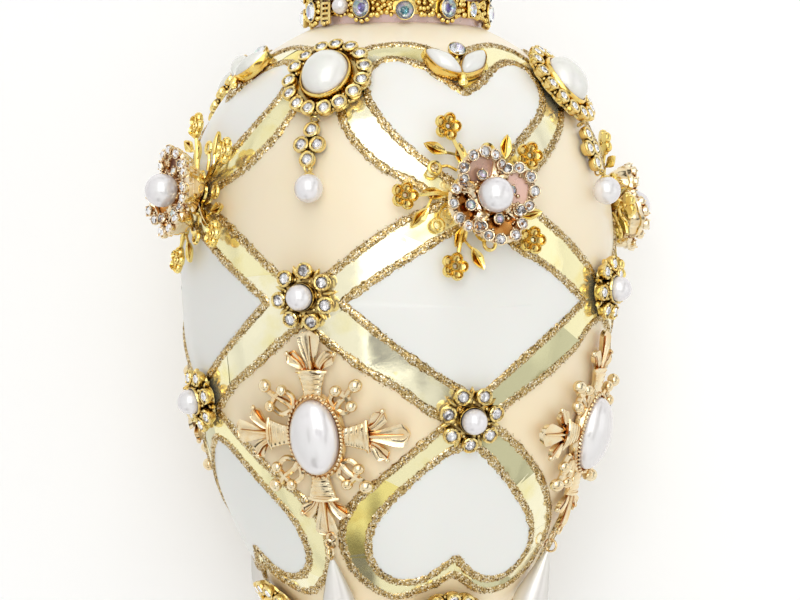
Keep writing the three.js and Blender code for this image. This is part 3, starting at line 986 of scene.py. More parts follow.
def glitter_ridge(line, axis, noise):
    """The raised glue line under the grains."""
    base, _, side, out = along_line(line, axis, RIDGE_STEP)
    half = RIDGE_HALF * (1 + 0.16 * noise.standard_normal((len(base), 1, 1)))
    high = RIDGE_HIGH * (1 + 0.15 * noise.standard_normal((len(base), RIDGE_POINTS, 1)))
    across = np.linspace(-1, 1, RIDGE_POINTS)[None, :, None]
    rings = base[:, None] + side[:, None] * half * across + out[:, None] * (
        high * np.sqrt(1 - np.abs(across) ** 2.2) + 0.02)
    return loft(np.concatenate([rings, rings[:1]]), around=False)


def glitter_grains(line, axis, noise):
    """Small tilted flakes, each a closed four-sided chip, scattered over a glue line."""
    base, forward, side, out = along_line(line, axis, 1 / GRAINS_PER_MM)
    count = len(base)
    across = np.clip(noise.normal(0, GRAIN_SPREAD, count), -GRAIN_REACH, GRAIN_REACH)
    rise = RIDGE_HIGH * np.sqrt(np.maximum(0, 1 - (across / 1.05) ** 2)) + 0.05
    centre = base + side * (across * RIDGE_HALF)[:, None] + out * rise[:, None]
    centre += forward * noise.normal(0, 0.12, count)[:, None]
    turn = noise.uniform(0, 2 * math.pi, count)
    lean = noise.normal(0, GRAIN_LEAN, (2, count))
    tip = out + side * lean[0][:, None] + forward * lean[1][:, None]
    tip /= np.linalg.norm(tip, axis=1, keepdims=True)
    first = np.cross(tip, forward)
    first /= np.linalg.norm(first, axis=1, keepdims=True)
    second = np.cross(tip, first)
    size = noise.uniform(*GRAIN_SIZE, count)[:, None]
    corners = []
    for third in range(3):
        angle = (turn + third * 2 * math.pi / 3 + noise.normal(0, 0.25, count))[:, None]
        corners.append(centre + size * (np.cos(angle) * first + np.sin(angle) * second))
    corners.append(centre - tip * 0.16)
    points = np.stack(corners, axis=1).reshape(-1, 3)
    faces = []
    for start in range(0, 4 * count, 4):
        a, b, c, d = start, start + 1, start + 2, start + 3
        faces += [(a, c, b), (a, b, d), (b, c, d), (c, a, d)]
    return Shape(points, faces, False)


def dress_egg():
    mesh_piece("painted_egg", [("cream", painted_egg())], ["egg"])
    whites, bands = [], []
    for quarter, side in zip(QUARTERS, SIDES[HEART_AXIS]):
        axis = HEART_AXIS + quarter
        ridges, grains = [], []
        for name, (panel, centre, steps) in PANELS.items():
            random.seed(f"leaf of the {side} {name}")
            noise = np.random.default_rng(1000 + quarter + len(name))
            inner, outer = panel_lines(panel, steps, mirrored=quarter in (90, 270))
            if name == "lower_heart":
                miss = [LOWER_HEART_MISSES[quarter // 90], 0]
                inner, outer = inner + miss, outer + miss
            whites.append(("white", white_panel(inner, centre, axis)))
            bands += [(random.choice(LEAF_KINDS), strip) for strip in gold_band(inner, outer, axis)]
            bands.append(("leaf", underlay(inner, outer, axis)))
            for line in (inner, outer):
                ridges.append(("glitter", glitter_ridge(line, axis, noise)))
                grains.append(("glitter", glitter_grains(line, axis, noise)))
        mesh_piece(f"glitter_ridges_{side}", ridges)
        mesh_piece(f"glitter_grains_{side}", grains)
    mesh_piece("white_panels", whites)
    mesh_piece("gold_bands", bands)


# The collar and neck

# The stations of the collar: azimuth, kind of jewel. Two rows of them, the upper one mirrored.
COLLAR_STATIONS = (
    (-112, "oval"), (-88, "round"), (-65, "oval"), (-50, "channel"), (-37.6, "pearl"), (-22.3, "oval"),
    (4.3, "round"), (32, "oval"), (52, "square"), (78, "oval"), (104, "round"), (130, "oval"),
    (156, "round"), (182, "pearl"), (204, "oval"), (228, "round"),
)
STATION_LOW = 57.3
STATION_HIGH = 62.0
COLLAR_REACH = 20.9
COLLAR_ROUND = 2.0
COLLAR_OVAL = 1.9
COLLAR_OVAL_TALL = 1.14
COLLAR_OVAL_BEADS = 5
COLLAR_PEARL = 1.9
ROUND_SITS_LOWER = 0.8
BARS_IN_CHANNEL = 5
BAR_STEP = 1.15
FILL_SPACING = 2.9
FILL_CLEAR = 7
FILL_RISES = (-1.4, -0.35, 0.75, 1.8)


def neck_shape():
    """The pearly ring inside the collar, closed by a low dome."""
    rings = [[NECK_RADIUS * 0.98, SHOULDER_HEIGHT - 0.6], [NECK_RADIUS, SHOULDER_HEIGHT + 0.3],
             [NECK_RADIUS + 0.15, 58.5], [NECK_RADIUS, NECK_TOP - 0.8], [NECK_RADIUS - 0.4, NECK_TOP],
             [NECK_RADIUS * 0.95, NECK_TOP + 0.5], [NECK_RADIUS * 0.86, NECK_TOP + 1.2],
             [NECK_RADIUS * 0.66, NECK_TOP + 2.4], [NECK_RADIUS * 0.4, DOME_TOP - 0.6],
             [NECK_RADIUS * 0.15, DOME_TOP - 0.05]]
    return dish(96, round_outline(1), rings, DOME_TOP)


def on_collar(shape, azimuth, height):
    """From a frame with X round the neck, Y up and Z out, onto the collar."""
    a = math.radians(azimuth)
    place = np.eye(4)
    place[:3, 0] = (math.cos(a), math.sin(a), 0)
    place[:3, 1] = (0, 0, 1)
    place[:3, 2] = (math.sin(a), -math.cos(a), 0)
    place[:3, 3] = (COLLAR_REACH * math.sin(a), -COLLAR_REACH * math.cos(a), height)
    return shape.place(place)


def coated_stone(radius, heart):
    """A coated stone in its cup, turned at random, with a deep tone at its heart, painted reflection in the
    coating's colour.
    """
    jewel = Jewel()
    jewel.stone(0, 0, -0.7, radius, 1.6, "brass", "aurora", turn=random.uniform(0, 60), rim=0.26,
                heart=heart)
    return jewel


def round_station(_down):
    return coated_stone(COLLAR_ROUND, "teal_painted_dark_centre")


def oval_station(down):
    """A slightly tall stone with an arc of beads on the collar's outer side."""
    jewel = coated_stone(COLLAR_OVAL, "violet_painted_dark_centre")
    jewel = jewel.changed(lambda shape: shape.stretch(1, COLLAR_OVAL_TALL, 1))
    for i in range(COLLAR_OVAL_BEADS):
        angle = math.radians(down * 90 + (i - (COLLAR_OVAL_BEADS - 1) / 2) * 27)
        jewel.add("setting", "rich", ball(0.64, 10, 7).move(*at_angle(angle, 2.8, 3.0), 0.1))
    return jewel


def pearl_station(down):
    """A small pearl in a ring of beads."""
    jewel = Jewel()
    off = -0.6 * down
    jewel.add("pearls", "pearl", ball(COLLAR_PEARL, 24, 15).move(0, off, 0.2))
    for degrees in range(0, 360, 30):
        x, y = at_angle(math.radians(degrees), 2.2)
        jewel.add("setting", "rich", ball(0.42, 8, 5).move(x, y + off, -0.2))
    return jewel


def channel_station(down):
    """A ladder of small bars between two rails, with two beads below it."""
    jewel = Jewel()
    bar = dish(4, round_outline(1.0), [[0.8, 0], [1, 0.25], [1, 0.8], [0.75, 1.0]]).turn(45)
    for step in range(BARS_IN_CHANNEL):
        jewel.add("setting", "brass", bar.stretch(1.7, 0.5, 1).move(0, 2.6 - BAR_STEP * step, -0.3))
    for side in (-1, 1):
        rail = [(side * 1.35, 3, 0.2), (side * 1.35, -3.2, 0.2)]
        jewel.add("setting", "brass", tube(rail, 0.4, 7))
    jewel.add("setting", "brass", ball(0.7, 10, 7).move(-0.5, down * 3.1, 0.2))
    jewel.add("setting", "brass", ball(0.6, 10, 7).move(0.7, down * 2.9, 0.2))
    return jewel


def square_station(_down):
    """A narrow stone in a square box."""
    jewel = Jewel()
    profile = [[0.9, -0.8], [1, -0.3], [1, 0.5], [0.9, 0.75], [0.8, 0.6], [0.4, 0.2]]
    box = dish(4, round_outline(2.5), profile).turn(45)
    jewel.add("setting", "rich", box.stretch(0.9, 1.1, 1))
    inside = Jewel()
    inside.stone(0, 0, -0.4, 1.3, 1.3, "rich", "aurora", turn=30, rim=0.25)
    jewel.shapes += inside.changed(lambda shape: shape.stretch(0.9, 1.25, 1)).shapes
    return jewel


STATION_MAKERS = {"oval": oval_station, "round": round_station, "pearl": pearl_station,
                  "channel": channel_station, "square": square_station}


def collar_band(level):
    """One of the two cast bands that the stations sit on."""
    inner, back, edge, face = NECK_RADIUS - 0.1, COLLAR_REACH - 0.75, COLLAR_REACH - 0.35, COLLAR_REACH - 0.5
    rings = [[inner, level - 1.5], [back, level - 1.5], [edge, level - 1.1], [face, level - 0.4],
             [face, level + 1.0], [edge, level + 1.7], [back, level + 2.1], [inner, level + 2.1]]
    return dish(110, round_outline(1), rings)


def away_round(first, second):
    """The angle between two azimuths."""
    return abs((first - second + 180) % 360 - 180)


def fill_beads(azimuth, after, level):
    """Columns of cast beads between one station and the next."""
    width = (after - azimuth) % 360
    count = max(2, round(width / FILL_SPACING))
    beads = []
    for i in range(count):
        at = azimuth + width * (i + 0.5) / count
        if away_round(at, azimuth) < FILL_CLEAR or away_round(at, after) < FILL_CLEAR:
            continue
        for rise in FILL_RISES:
            bead = ball(random.uniform(0.46, 0.74), 9, 6)
            beads.append(on_collar(bead, at + random.uniform(-1.2, 1.2),
                                   level + rise + random.uniform(-0.35, 0.35)))
    return beads


def collar():
    jewel = Jewel()
    for level in (STATION_LOW, STATION_HIGH):
        jewel.add("band", "rich", collar_band(level))
    for down, level in ((-1, STATION_LOW), (1, STATION_HIGH)):
        for number, (azimuth, kind) in enumerate(COLLAR_STATIONS):
            height = level - (ROUND_SITS_LOWER if kind == "round" and level == STATION_LOW else 0)
            for part, finish, shape in STATION_MAKERS[kind](down).shapes:
                placed = on_collar(shape, azimuth, height)
                jewel.add("band" if part == "setting" else part, finish, placed)
            after = COLLAR_STATIONS[(number + 1) % len(COLLAR_STATIONS)][0]
            jewel.add("band", "rich", *fill_beads(azimuth, after, level))
    return jewel


def dress_collar():
    mesh_piece("blush_neck", [("blush", neck_shape())], ["neck"])
    random.seed("collar")
    jewel = collar()
    mesh_piece("collar_band", jewel.part("band"), ["collar"])
    mesh_piece("collar_stones", jewel.part("stones"))
    mesh_piece("collar_pearls", jewel.part("pearls"))


# Medallions

MEDALLION_STONES = 15
MEDALLION_RING = (8.3, 8.8)
MEDALLION_STONE = 1.07
CABOCHON = (5.2, 5.9)
CABOCHON_LOW = 3.0
CABOCHON_TOP = 7.0
CABOCHON_SHARES = (1, 0.985, 0.95, 0.88, 0.78, 0.66, 0.52, 0.36, 0.18)


def cabochon_dome():
    """A domed oval stone, steep at its edge."""
    rings = [[1, CABOCHON_LOW - 0.5]]
    for share in CABOCHON_SHARES:
        rings.append([share, CABOCHON_LOW + (CABOCHON_TOP - CABOCHON_LOW) * (1 - share ** 2.5) ** 0.55])
    return dish(40, oval(*CABOCHON), rings, CABOCHON_TOP)


def medallion():
    """An oval cabochon in a plain bezel, in a ring of cupped stones with beads between them."""
    jewel = Jewel()
    plate_profile = [[0.9, 0], [1, 0.4], [1, 0.9], [0.96, 1.15], [0.7, 1.2]]
    plate = dish(90, lobes(MEDALLION_STONES, 9.9, 0.8, 0.7), plate_profile)
    jewel.add("setting", "brass", plate.turn(18).stretch(0.98, 1.02, 1))
    step = 360 / MEDALLION_STONES
    for i in range(MEDALLION_STONES):
        angle = math.radians(90 - step * i + random.uniform(-1.2, 1.2))
        jewel.stone(*at_angle(angle, *MEDALLION_RING), 0.7, MEDALLION_STONE, 1.75, "brass",
                    turn=math.degrees(angle), lean=(12, math.degrees(angle)), rim=0.72)
        middle = angle + math.radians(step / 2)
        for share, size, high in ((0.885, 0.42, 2.1), (1.1, 0.4, 1.5)):
            place = at_angle(middle, MEDALLION_RING[0] * share, MEDALLION_RING[1] * share)
            jewel.add("setting", "brass", ball(size, 8, 5).move(*place, high))
    wall_profile = [[1.12, 0.9], [1.12, 2.4], [1.09, 3.2], [1.05, 3.45], [1.01, 3.4], [0.98, 2.9], [0.5, 2.6]]
    wall = dish(56, oval(CABOCHON[0] + 0.1, CABOCHON[1] + 0.1), wall_profile)
    jewel.add("setting", "bezel", wall)
    jewel.add("cabochon", "opal", cabochon_dome())
    return jewel


# The drop under a medallion

DROP_CUPS = ((0, 2.9), (-1.9, -0.5), (1.9, -0.5), (0, -3.9))
DROP_STONE = 1.14
DROP_PEARL = 3.1
DROP_PEARL_AWAY = 10.6
DROP_RISE = -0.4
DROP_BEND = 1.0
# Each drop hangs a little aslant: its cups lie this many degrees to one side, its pearl to the other.
DROP_HANG = (0.9, -0.6, 0.3, -0.3)


def drop():
    """Four cupped stones on a back plate, with a link at each end."""
    jewel = Jewel()
    for i, (x, y) in enumerate(DROP_CUPS):
        jewel.stone(x, y, 0.25, DROP_STONE, 1.6, "brass", turn=25 * i, rim=0.8)
    jewel.add("setting", "brass", dish(4, round_outline(3.2), [[1, 0.3], [1, 0.9]]).stretch(0.62, 1.2, 1))
    jewel.add("setting", "brass", hoop(0.9, 0.24, 14, 6).turn(70, "X").move(0, 5.6, 1.1))
    jewel.add("setting", "brass", hoop(0.75, 0.22, 14, 6).turn(75, "Y").move(0, -5.9, 1.4))
    return jewel


def drop_end():
    """The round pearl on its pin, in the tangent frame below the drop."""
    jewel = Jewel()
    jewel.add("pearl", "pearl", ball(DROP_PEARL, 32, 20).move(z=DROP_PEARL + 0.05))
    pin = curve_through([(0, 2.6, DROP_PEARL + 0.3), (0, 3.6, DROP_PEARL + 0.1), (0, 4.4, 2.2)], 5)
    jewel.add("setting", "brass", tube(pin, 0.3, 7))
    cap = dish(14, lobes(7, 1.35, 0.25), [[1, -0.2], [0.95, 0.15], [0.6, 0.6], [0.3, 0.8]])
    jewel.add("setting", "brass", cap.turn(-90, "X").move(0, 2.75, DROP_PEARL + 0.1))
    jewel.add("setting", "brass", hoop(0.55, 0.2, 12, 6).turn(90, "Y").move(0, 4.2, 2.6))
    return jewel


def dress_drops():
    axis, height, misses = ROWS["drop"]
    for quarter, side in enumerate(SIDES[axis]):
        azimuth = axis + 90 * quarter + misses[quarter][0]
        place = spot(azimuth - DROP_HANG[quarter], height + DROP_RISE)
        under = spot(azimuth + DROP_HANG[quarter], walk(height, -DROP_PEARL_AWAY))
        top, end = drop(), drop_end()
        setting = laid(top.part("setting"), place, DROP_BEND) + laid(end.part("setting"), under)
        mesh_piece(f"drop_setting_{side}", setting)
        mesh_piece(f"drop_stones_{side}", laid(top.part("stones"), place, DROP_BEND))
        mesh_piece(f"drop_pearl_{side}", laid(end.part("pearl"), under), [f"drop_{side}"])


# Twin leaves

LEAF = (5.15, 2.55)
LEAF_POWER = 1.5
LEAF_LEAN = 44
LEAF_APART = 3.5
LEAF_PEARL_SHARES = (1, 0.97, 0.88, 0.72, 0.5, 0.26)


def twin_leaf():
    """Two pointed pearls in bezels that lean apart, on a stem, with a stone above them."""
    jewel = Jewel()
    outline = pointed_oval(*LEAF, LEAF_POWER)
    wall_profile = [[1.0, 0], [1.06, 0.3], [1.03, 1.3], [1.02, 2.1], [0.98, 2.4], [0.92, 2.3], [0.88, 1.8],
                    [0.4, 1.6]]
    pearl_profile = [[0.91, 1.6]]
    for share in LEAF_PEARL_SHARES:
        pearl_profile.append([share * 0.91, 2.1 + 1.9 * (1 - share ** 2.2) ** 0.6])
    wall = dish(48, outline, wall_profile)
    leaf_pearl = dish(48, outline, pearl_profile, 4.0)
    for side in (-1, 1):
        turn = 90 - side * LEAF_LEAN
        jewel.add("setting", "bezel", wall.turn(turn).move(side * LEAF_APART, 0.5))
        jewel.add("pearl", "opal", leaf_pearl.turn(turn).move(side * LEAF_APART, 0.5))
    jewel.stone(0.9, 4.9, 0.3, 1.85, 1.6, "brass", "aurora", turn=10, rim=0.28)
    stem = [(0, -5.1, 0.5), (0, -3.6, 1.6), (0, -1.2, 1.4), (0.3, 1.6, 1.0), (0.8, 4.2, 1.2)]
    stem = curve_through(stem, 5)
    jewel.add("setting", "rich", tube(stem, np.linspace(0.9, 0.45, len(stem)), 8))
    jewel.add("setting", "rich", ball(1.0, 10, 7).stretch(1.2, 1, 0.8).move(0, -4.6, 0.9))
    for side in (-1, 1):
        vein = curve_through([(0, -1.5, 0.7), (side * 0.9, 1.2, 1.0), (side * 1.9, 3.0, 0.8)], 4)
        jewel.add("setting", "amber_and_painted_shadow", tube(vein, 0.35, 6))
    return jewel


# Sprigs

SPRIG_ARMS = 5
SPRIG_TURN = 36
SPRIG_OFF = (-1.3, 0.9)
FLOWER_AWAY = 15.9
FLOWER_PETALS = 5
FLOWER_RING = 1.98
FLOWER_PETAL = 1.38
SPRIG_LEAF = (5.6, 2.7)
SPRIG_LEAVES = (((12.5, 4.5), 47), ((9.2, -0.5), -12))


def small_leaf(length, width):
    """A dished leaf along +X with a raised rim and midrib."""
    body = dish(28, pointed_oval(length / 2, width / 2, 1.35),
                [[0.9, 0.1], [1, 0.45], [0.97, 0.95], [0.86, 0.85], [0.5, 0.45]], 0.35)
    midrib = [(share * length, 0, high)
              for share, high in ((-0.5, 0.5), (-0.2, 0.75), (0.2, 0.8), (0.44, 0.7))]
    return body, tube(midrib, [0.26, 0.24, 0.2, 0.12], 6)


def sprig_flower():
    """Five round dished petals round a small ring, on its back at the end of an arm."""
    profile = [[0.85, 0.2], [1, 0.6], [0.99, 1.15], [0.84, 1.5], [0.66, 1.2], [0.5, 0.75], [0.25, 0.65]]
    leaning = dish(20, round_outline(FLOWER_PETAL), profile).turn(-14, "Y")
    shapes = []
    for k in range(FLOWER_PETALS):
        degrees = 360 / FLOWER_PETALS * (k + 0.5)
        x, y = at_angle(math.radians(degrees), FLOWER_RING)
        shapes.append(leaning.turn(degrees).move(FLOWER_AWAY + x, y, 0.15))
    return shapes + [hoop(0.72, 0.26, 14, 6).move(FLOWER_AWAY, 0, 1.35)]


def sprig_arm():
    """A stem along +X with its flower, two leaves, a twig and a curl that ends in a ring."""
    stem = curve_through([(3.5, 0, 0.7), (8, -0.6, 0.9), (11.2, -0.3, 1.0), (13.4, 0, 1.1)], 5)
    shapes = [tube(stem, np.linspace(0.6, 0.42, len(stem)), 7)] + sprig_flower()
    for place, lean in SPRIG_LEAVES:
        shapes += [shape.turn(lean).move(*place, 0.25) for shape in small_leaf(*SPRIG_LEAF)]
    shapes.append(tube(curve_through([(9.4, 0, 0.8), (10.2, 1.3, 0.8), (10.9, 2.6, 0.8)], 4), 0.32, 6))
    shapes.append(tube(curve_through([(6.5, 1.6, 0.7), (8.0, 3.2, 0.8), (8.4, 4.8, 0.8)], 4), 0.36, 6))
    shapes.append(hoop(1.3, 0.42, 20, 7).move(8.6, 6.2, 0.8))
    return shapes


def sprig():
    jewel = Jewel()
    for k in range(SPRIG_ARMS):
        turn = SPRIG_TURN + 360 / SPRIG_ARMS * k + random.uniform(-2, 2)
        jewel.add("setting", "rich", *[shape.turn(turn).move(*SPRIG_OFF) for shape in sprig_arm()])
    disc = dish(30, lobes(5, 5.4, 1.2), [[0.9, 0], [1, 0.4], [0.95, 0.9], [0.5, 1.0]])
    jewel.add("setting", "rich", disc.move(*SPRIG_OFF))
    return jewel


# Roses

PETAL_TURN = 19
PETAL_AWAY = 6.55
PETAL_HIGH = 5.0
PETAL_REACH = (3.75, 4.5)
PETAL_TILT = 17
# The amber linings are painted shadow, the orange-gold of a petal's bowl in shade; the shell linings are pink
# shell.
PETAL_LININGS = ("shell", "shell", "amber_and_painted_shadow", "amber_and_painted_shadow")
PETAL_STONES = (-100, -62, -22, 18, 58, 98)
PETAL_RIM = 0.92
ROSE_PEARL = 3.75
ROSE_PEARL_OUT = 9.9
# Each rose has one stone over each petal and one in each gap: how far out, how high, its radius.
OVER_PETAL = (4.75, 5.6, 1.0)
IN_GAP = (6.4, 5.0, 0.95)
GAP_BEADS = 16


def petal_edge(angles):
    return oval(*PETAL_REACH)(angles) * lobes(5, 1.04, 0.09)(angles)


def petal(turn, lining):
    """One petal: a bowl with a thick beaded rim, set with stones on its outer side."""
    jewel = Jewel()
    shell_profile = [[0.2, -2.6], [0.5, -2.1], [0.84, -0.5], [0.98, 0.9], [1.0, 1.4], [0.88, 1.4],
                     [0.8, 0.7], [0.5, -0.1]]
    lining_profile = [[0.8, 0.6], [0.8, 0.85], [0.66, 0.45], [0.45, 0.15], [0.2, 0.0]]
    jewel.add("setting", "champagne", dish(44, petal_edge, shell_profile, -0.3))
    jewel.add("petals", lining, dish(36, petal_edge, lining_profile, -0.05))
    angles = even_angles(44)
    rim = ring_of(petal_edge(angles) * 0.91, angles, 1.35 + 0.12 * np.cos(5 * angles))
    jewel.add("setting", "pale", tube(rim, PETAL_RIM, 7, closed=True))
    for degrees in PETAL_STONES:
        a = math.radians(degrees + random.uniform(-6, 6))
        place = at_angle(a, 0.97 * PETAL_REACH[0], 0.97 * PETAL_REACH[1])
        jewel.stone(*place, 1.5, random.uniform(0.9, 1.04), 1.25, "pale", prongs=3,
                    turn=40 * degrees, lean=(14, math.degrees(a)), rim=0.36)
    for degrees in range(0, 360, 10):
        a = math.radians(degrees + random.uniform(-4, 4))
        share, high = random.choice(((0.7, 1.35), (0.82, 2.0), (0.95, 2.05), (1.08, 1.35)))
        place = at_angle(a, share * PETAL_REACH[0], share * PETAL_REACH[1])
        jewel.add("setting", "pale", ball(random.uniform(0.28, 0.5), 7, 5).move(*place, high))

    def tilted(shape):
        return shape.turn(-PETAL_TILT, "Y").move(PETAL_AWAY, 0, PETAL_HIGH).turn(turn)

    return jewel.changed(tilted).shapes


def gap_filling(gap):
    """An arm with loose beads round it, between two petals."""
    arm = tube([(*at_angle(gap, 2), 4.6), (*at_angle(gap, 6.2), 4.8)], 0.6, 6)
    shapes = [("setting", "champagne", arm)]
    for _ in range(GAP_BEADS):
        place = at_angle(gap + random.uniform(-0.5, 0.5), random.uniform(4.2, 8.6))
        bead = ball(random.uniform(0.3, 0.55), 7, 5)
        shapes.append(("setting", "pale", bead.move(*place, 5.7 + random.uniform(-0.4, 0.4))))
    return shapes


def rose():
    """A stalk, four petals set with stones, stones and beads between them, and a pearl in a seat."""
    jewel = Jewel()
    stalk_profile = [[3.6, 1.7], [2.6, 2.4], [2.2, 3.6], [3.0, 5.2], [3.2, 5.8], [2.6, 6.0]]
    jewel.add("setting", "champagne", dish(24, round_outline(1), stalk_profile))
    for k, lining in enumerate(PETAL_LININGS):
        turn = PETAL_TURN + 90 * k + random.uniform(-3, 3)
        jewel.shapes += petal(turn, lining)
        away, high, size = OVER_PETAL
        jewel.stone(*at_angle(math.radians(turn), away), high, size, 1.3, "pale", "aurora", prongs=3,
                    turn=30 * k, lean=(10, turn), rim=0.3)
        away, high, size = IN_GAP
        gap = math.radians(turn + 45)
        jewel.stone(*at_angle(gap, away), high, size, 1.5, "pale", "crystal", prongs=4,
                    turn=15 * k, lean=(12, turn + 45), rim=0.34)
        jewel.shapes += gap_filling(gap)
    seat_profile = [[0.5, 5.6], [0.9, 6.3], [1, 7.2], [0.95, 7.6], [0.85, 7.3], [0.4, 6.8]]
    jewel.add("setting", "champagne", dish(28, lobes(10, 2.9, 0.2), seat_profile))
    jewel.add("heart", "pearl", ball(ROSE_PEARL, 36, 22).move(z=ROSE_PEARL_OUT - GAP))
    return jewel


# Clusters

CLUSTER_STONES = 7
CLUSTER_STONE = 1.2
CLUSTER_RING = 5.35
CLUSTER_PEARL = 2.8
CLUSTER_PEARL_OUT = 4.3
WAIST_TURN = 85
LOW_TURN = 64


def cluster(turn):
    """Seven stones round a small pearl, with a pointed leaf tip and a bead between each pair."""
    jewel = Jewel()
    plate_profile = [[0.85, 0], [1, 0.4], [0.98, 1.0], [0.6, 1.2]]
    plate = dish(56, lobes(CLUSTER_STONES, 6.4, 1.4, 0.6), plate_profile)
    jewel.add("setting", "brass", plate.turn(turn))
    for i in range(CLUSTER_STONES):
        degrees = turn + 360 * i / CLUSTER_STONES
        jewel.stone(*at_angle(math.radians(degrees), CLUSTER_RING), 0.7, CLUSTER_STONE, 1.75,
                    "brass", prongs=5, turn=degrees, lean=(9, degrees), rim=0.7)
        between = degrees + 180 / CLUSTER_STONES
        tip = dish(12, pointed_oval(1.5, 0.6), [[0.8, 0.5], [1, 1.0], [0.8, 1.6], [0.3, 1.75]])
        jewel.add("setting", "brass", tip.move(5.6).turn(between))
        jewel.add("setting", "brass", ball(0.4, 8, 5).move(3.9, 0, 2.5).turn(between))
    bezel_profile = [[1.0, 0.8], [1.14, 1.5], [1.15, 3.0], [1.1, 3.35], [1.04, 3.3], [0.9, 2.4], [0.4, 2.0]]
    jewel.add("setting", "brass", dish(36, round_outline(CLUSTER_PEARL), bezel_profile))
    jewel.add("pearl", "pearl", ball(CLUSTER_PEARL, 32, 20).move(z=CLUSTER_PEARL_OUT - GAP))
    return jewel


# Lily crosses

LILY_PEARL = (5.45, 8.35)
LILY_PEARL_TOP = 6.36
LILY_BEND = 0.68
LILY_BEADS = 46
LILY_ARM_STARTS = (LILY_PEARL[0] + 0.8, LILY_PEARL[1] + 0.8)
LILY_LOOP = (0.6, -LILY_PEARL[1] - 15.1, 1.2)
# Each corner has a spray of three balls: the far one, the one beside the long arm, the other.
LILY_SPRAYS = (
    ((10.0, 11.4), (5.6, 10.3), (8.8, 6.9)),
    ((-11.2, 10.9), (-7.1, 10.1), (-10.3, 6.4)),
    ((-11.0, -11.6), (-6.9, -11.2), (-10.1, -7.4)),
    ((10.3, -11.2), (6.2, -10.6), (9.1, -7.1)),
)
SPRAY_ROOT = (4.9, 6.0)
SPRAY_WIRES = (0.8, 0.8, 0.75, 0.7, 0.7, 0.65, 0.65, 0.6, 0.6)
SPRAY_BALLS = (1.5, 1.3, 1.3)


def swell(line, start, gain, reach, end, close, least):
    """Half widths along a lobe: it swells over the first part of its line, then rounds off."""
    share = np.linspace(0, 1, len(line))
    widths = start + gain * np.sin(np.clip(share * reach, 0, 1) * math.pi / 2) ** 2
    return widths * np.sqrt(np.clip((end - share) / close, least, 1))


def arm_collar():
    """The ridged part of an arm, which widens away from the pearl."""
    reach = np.linspace(-0.6, 5.0, 29)
    ridges = 0.2 * np.abs(np.sin(np.clip(reach, 0.3, 5) * math.pi / 1.15))
    halves = 2.1 + 1.25 * np.clip(reach / 5.0, 0, 1) ** 1.6
    rings = []
    for x, half, extra in zip(reach, halves, ridges):
        angles = np.linspace(0, math.pi, 13)
        top = [(x, half * math.cos(a), 1.1 + (0.75 + extra) * math.sin(a) ** 0.6) for a in angles]
        rings.append(top + [(x, -half * 0.9, 0.45), (x, half * 0.9, 0.45)])
    return loft(rings, np.mean(rings[0], axis=0), np.mean(rings[-1], axis=0))


def lily_arm():
    """One arm along +X: a ridged collar with a lip, then a three-lobed head."""
    lip = [(5.1, -3.5, 1.1), (5.25, -1.8, 1.75), (5.3, 0, 1.95), (5.25, 1.8, 1.75), (5.1, 3.5, 1.1)]
    shapes = [arm_collar(), tube(curve_through(lip, 5), 0.42, 8)]
    middle = [(4.9, 0, 1.1), (7.4, 0, 1.25), (10.2, 0, 1.35), (12.6, 0, 1.3), (14.0, 0, 1.1)]
    middle = curve_through(middle, 6)
    shapes.append(strap(middle, swell(middle, 0.85, 1.75, 1.28, 1.0, 0.24, 0.012), 0.5, 0.7))
    shapes.append(tube(middle[:-5] + [0, 0, 0.1], np.linspace(0.42, 0.16, len(middle) - 5), 6))
    for side in (-1, 1):
        curl = ((4.9, 1.2, 1.0), (6.6, 2.2, 1.2), (7.9, 3.7, 1.35), (8.9, 5.1, 1.3))
        curl = curve_through([(x, side * y, z) for x, y, z in curl], 6)
        shapes.append(strap(curl, swell(curl, 0.8, 0.95, 1.1, 1.02, 0.2, 0.05), 0.5, 0.7))
        rib = curl + [0.35, side * 0.55, 0.25]
        shapes.append(tube(rib[2:-2], 0.2, 6))
        shapes.append(ball(0.62, 9, 6).move(8.9, side * 5.5, 1.25))
    return shapes


def lily_spray(spray):
    """Three balls on forked wires, with two bowed webs between the root and the near balls."""
    far, near, other = np.array(spray)
    root = np.copysign(SPRAY_ROOT, far)
    fork = (far + near + other) / 3 * 0.94
    half_way = root * [0.6, 0.45] + fork * [0.4, 0.55]
    stem = curve_through([(*root, 1.0), (*half_way, 1.3), (*fork, 1.5)], 4)
    shapes = [tube(stem, SPRAY_WIRES, 7)]
    for ball_at, size in zip((far, near, other), SPRAY_BALLS):
        x, y = ball_at
        bow = (fork + ball_at) / 2 + [-0.02 * y, 0.02 * x]
        shapes.append(ball(size, 14, 9).move(x, y, 1.9))
        shapes.append(tube(curve_through([(*fork, 1.4), (*bow, 1.5), (x, y, 1.7)], 3), 0.72, 6))
    for ball_at, way in ((near, 1), (other, -1)):
        x, y = ball_at - root
        belly = (root + ball_at) / 2 + np.array([-y, x]) * way * math.copysign(0.28, far[0] * far[1])
        shapes.append(tube(curve_through([(*root, 1.0), (*belly, 1.25), (*ball_at, 1.5)], 5), 0.66, 7))
    return shapes


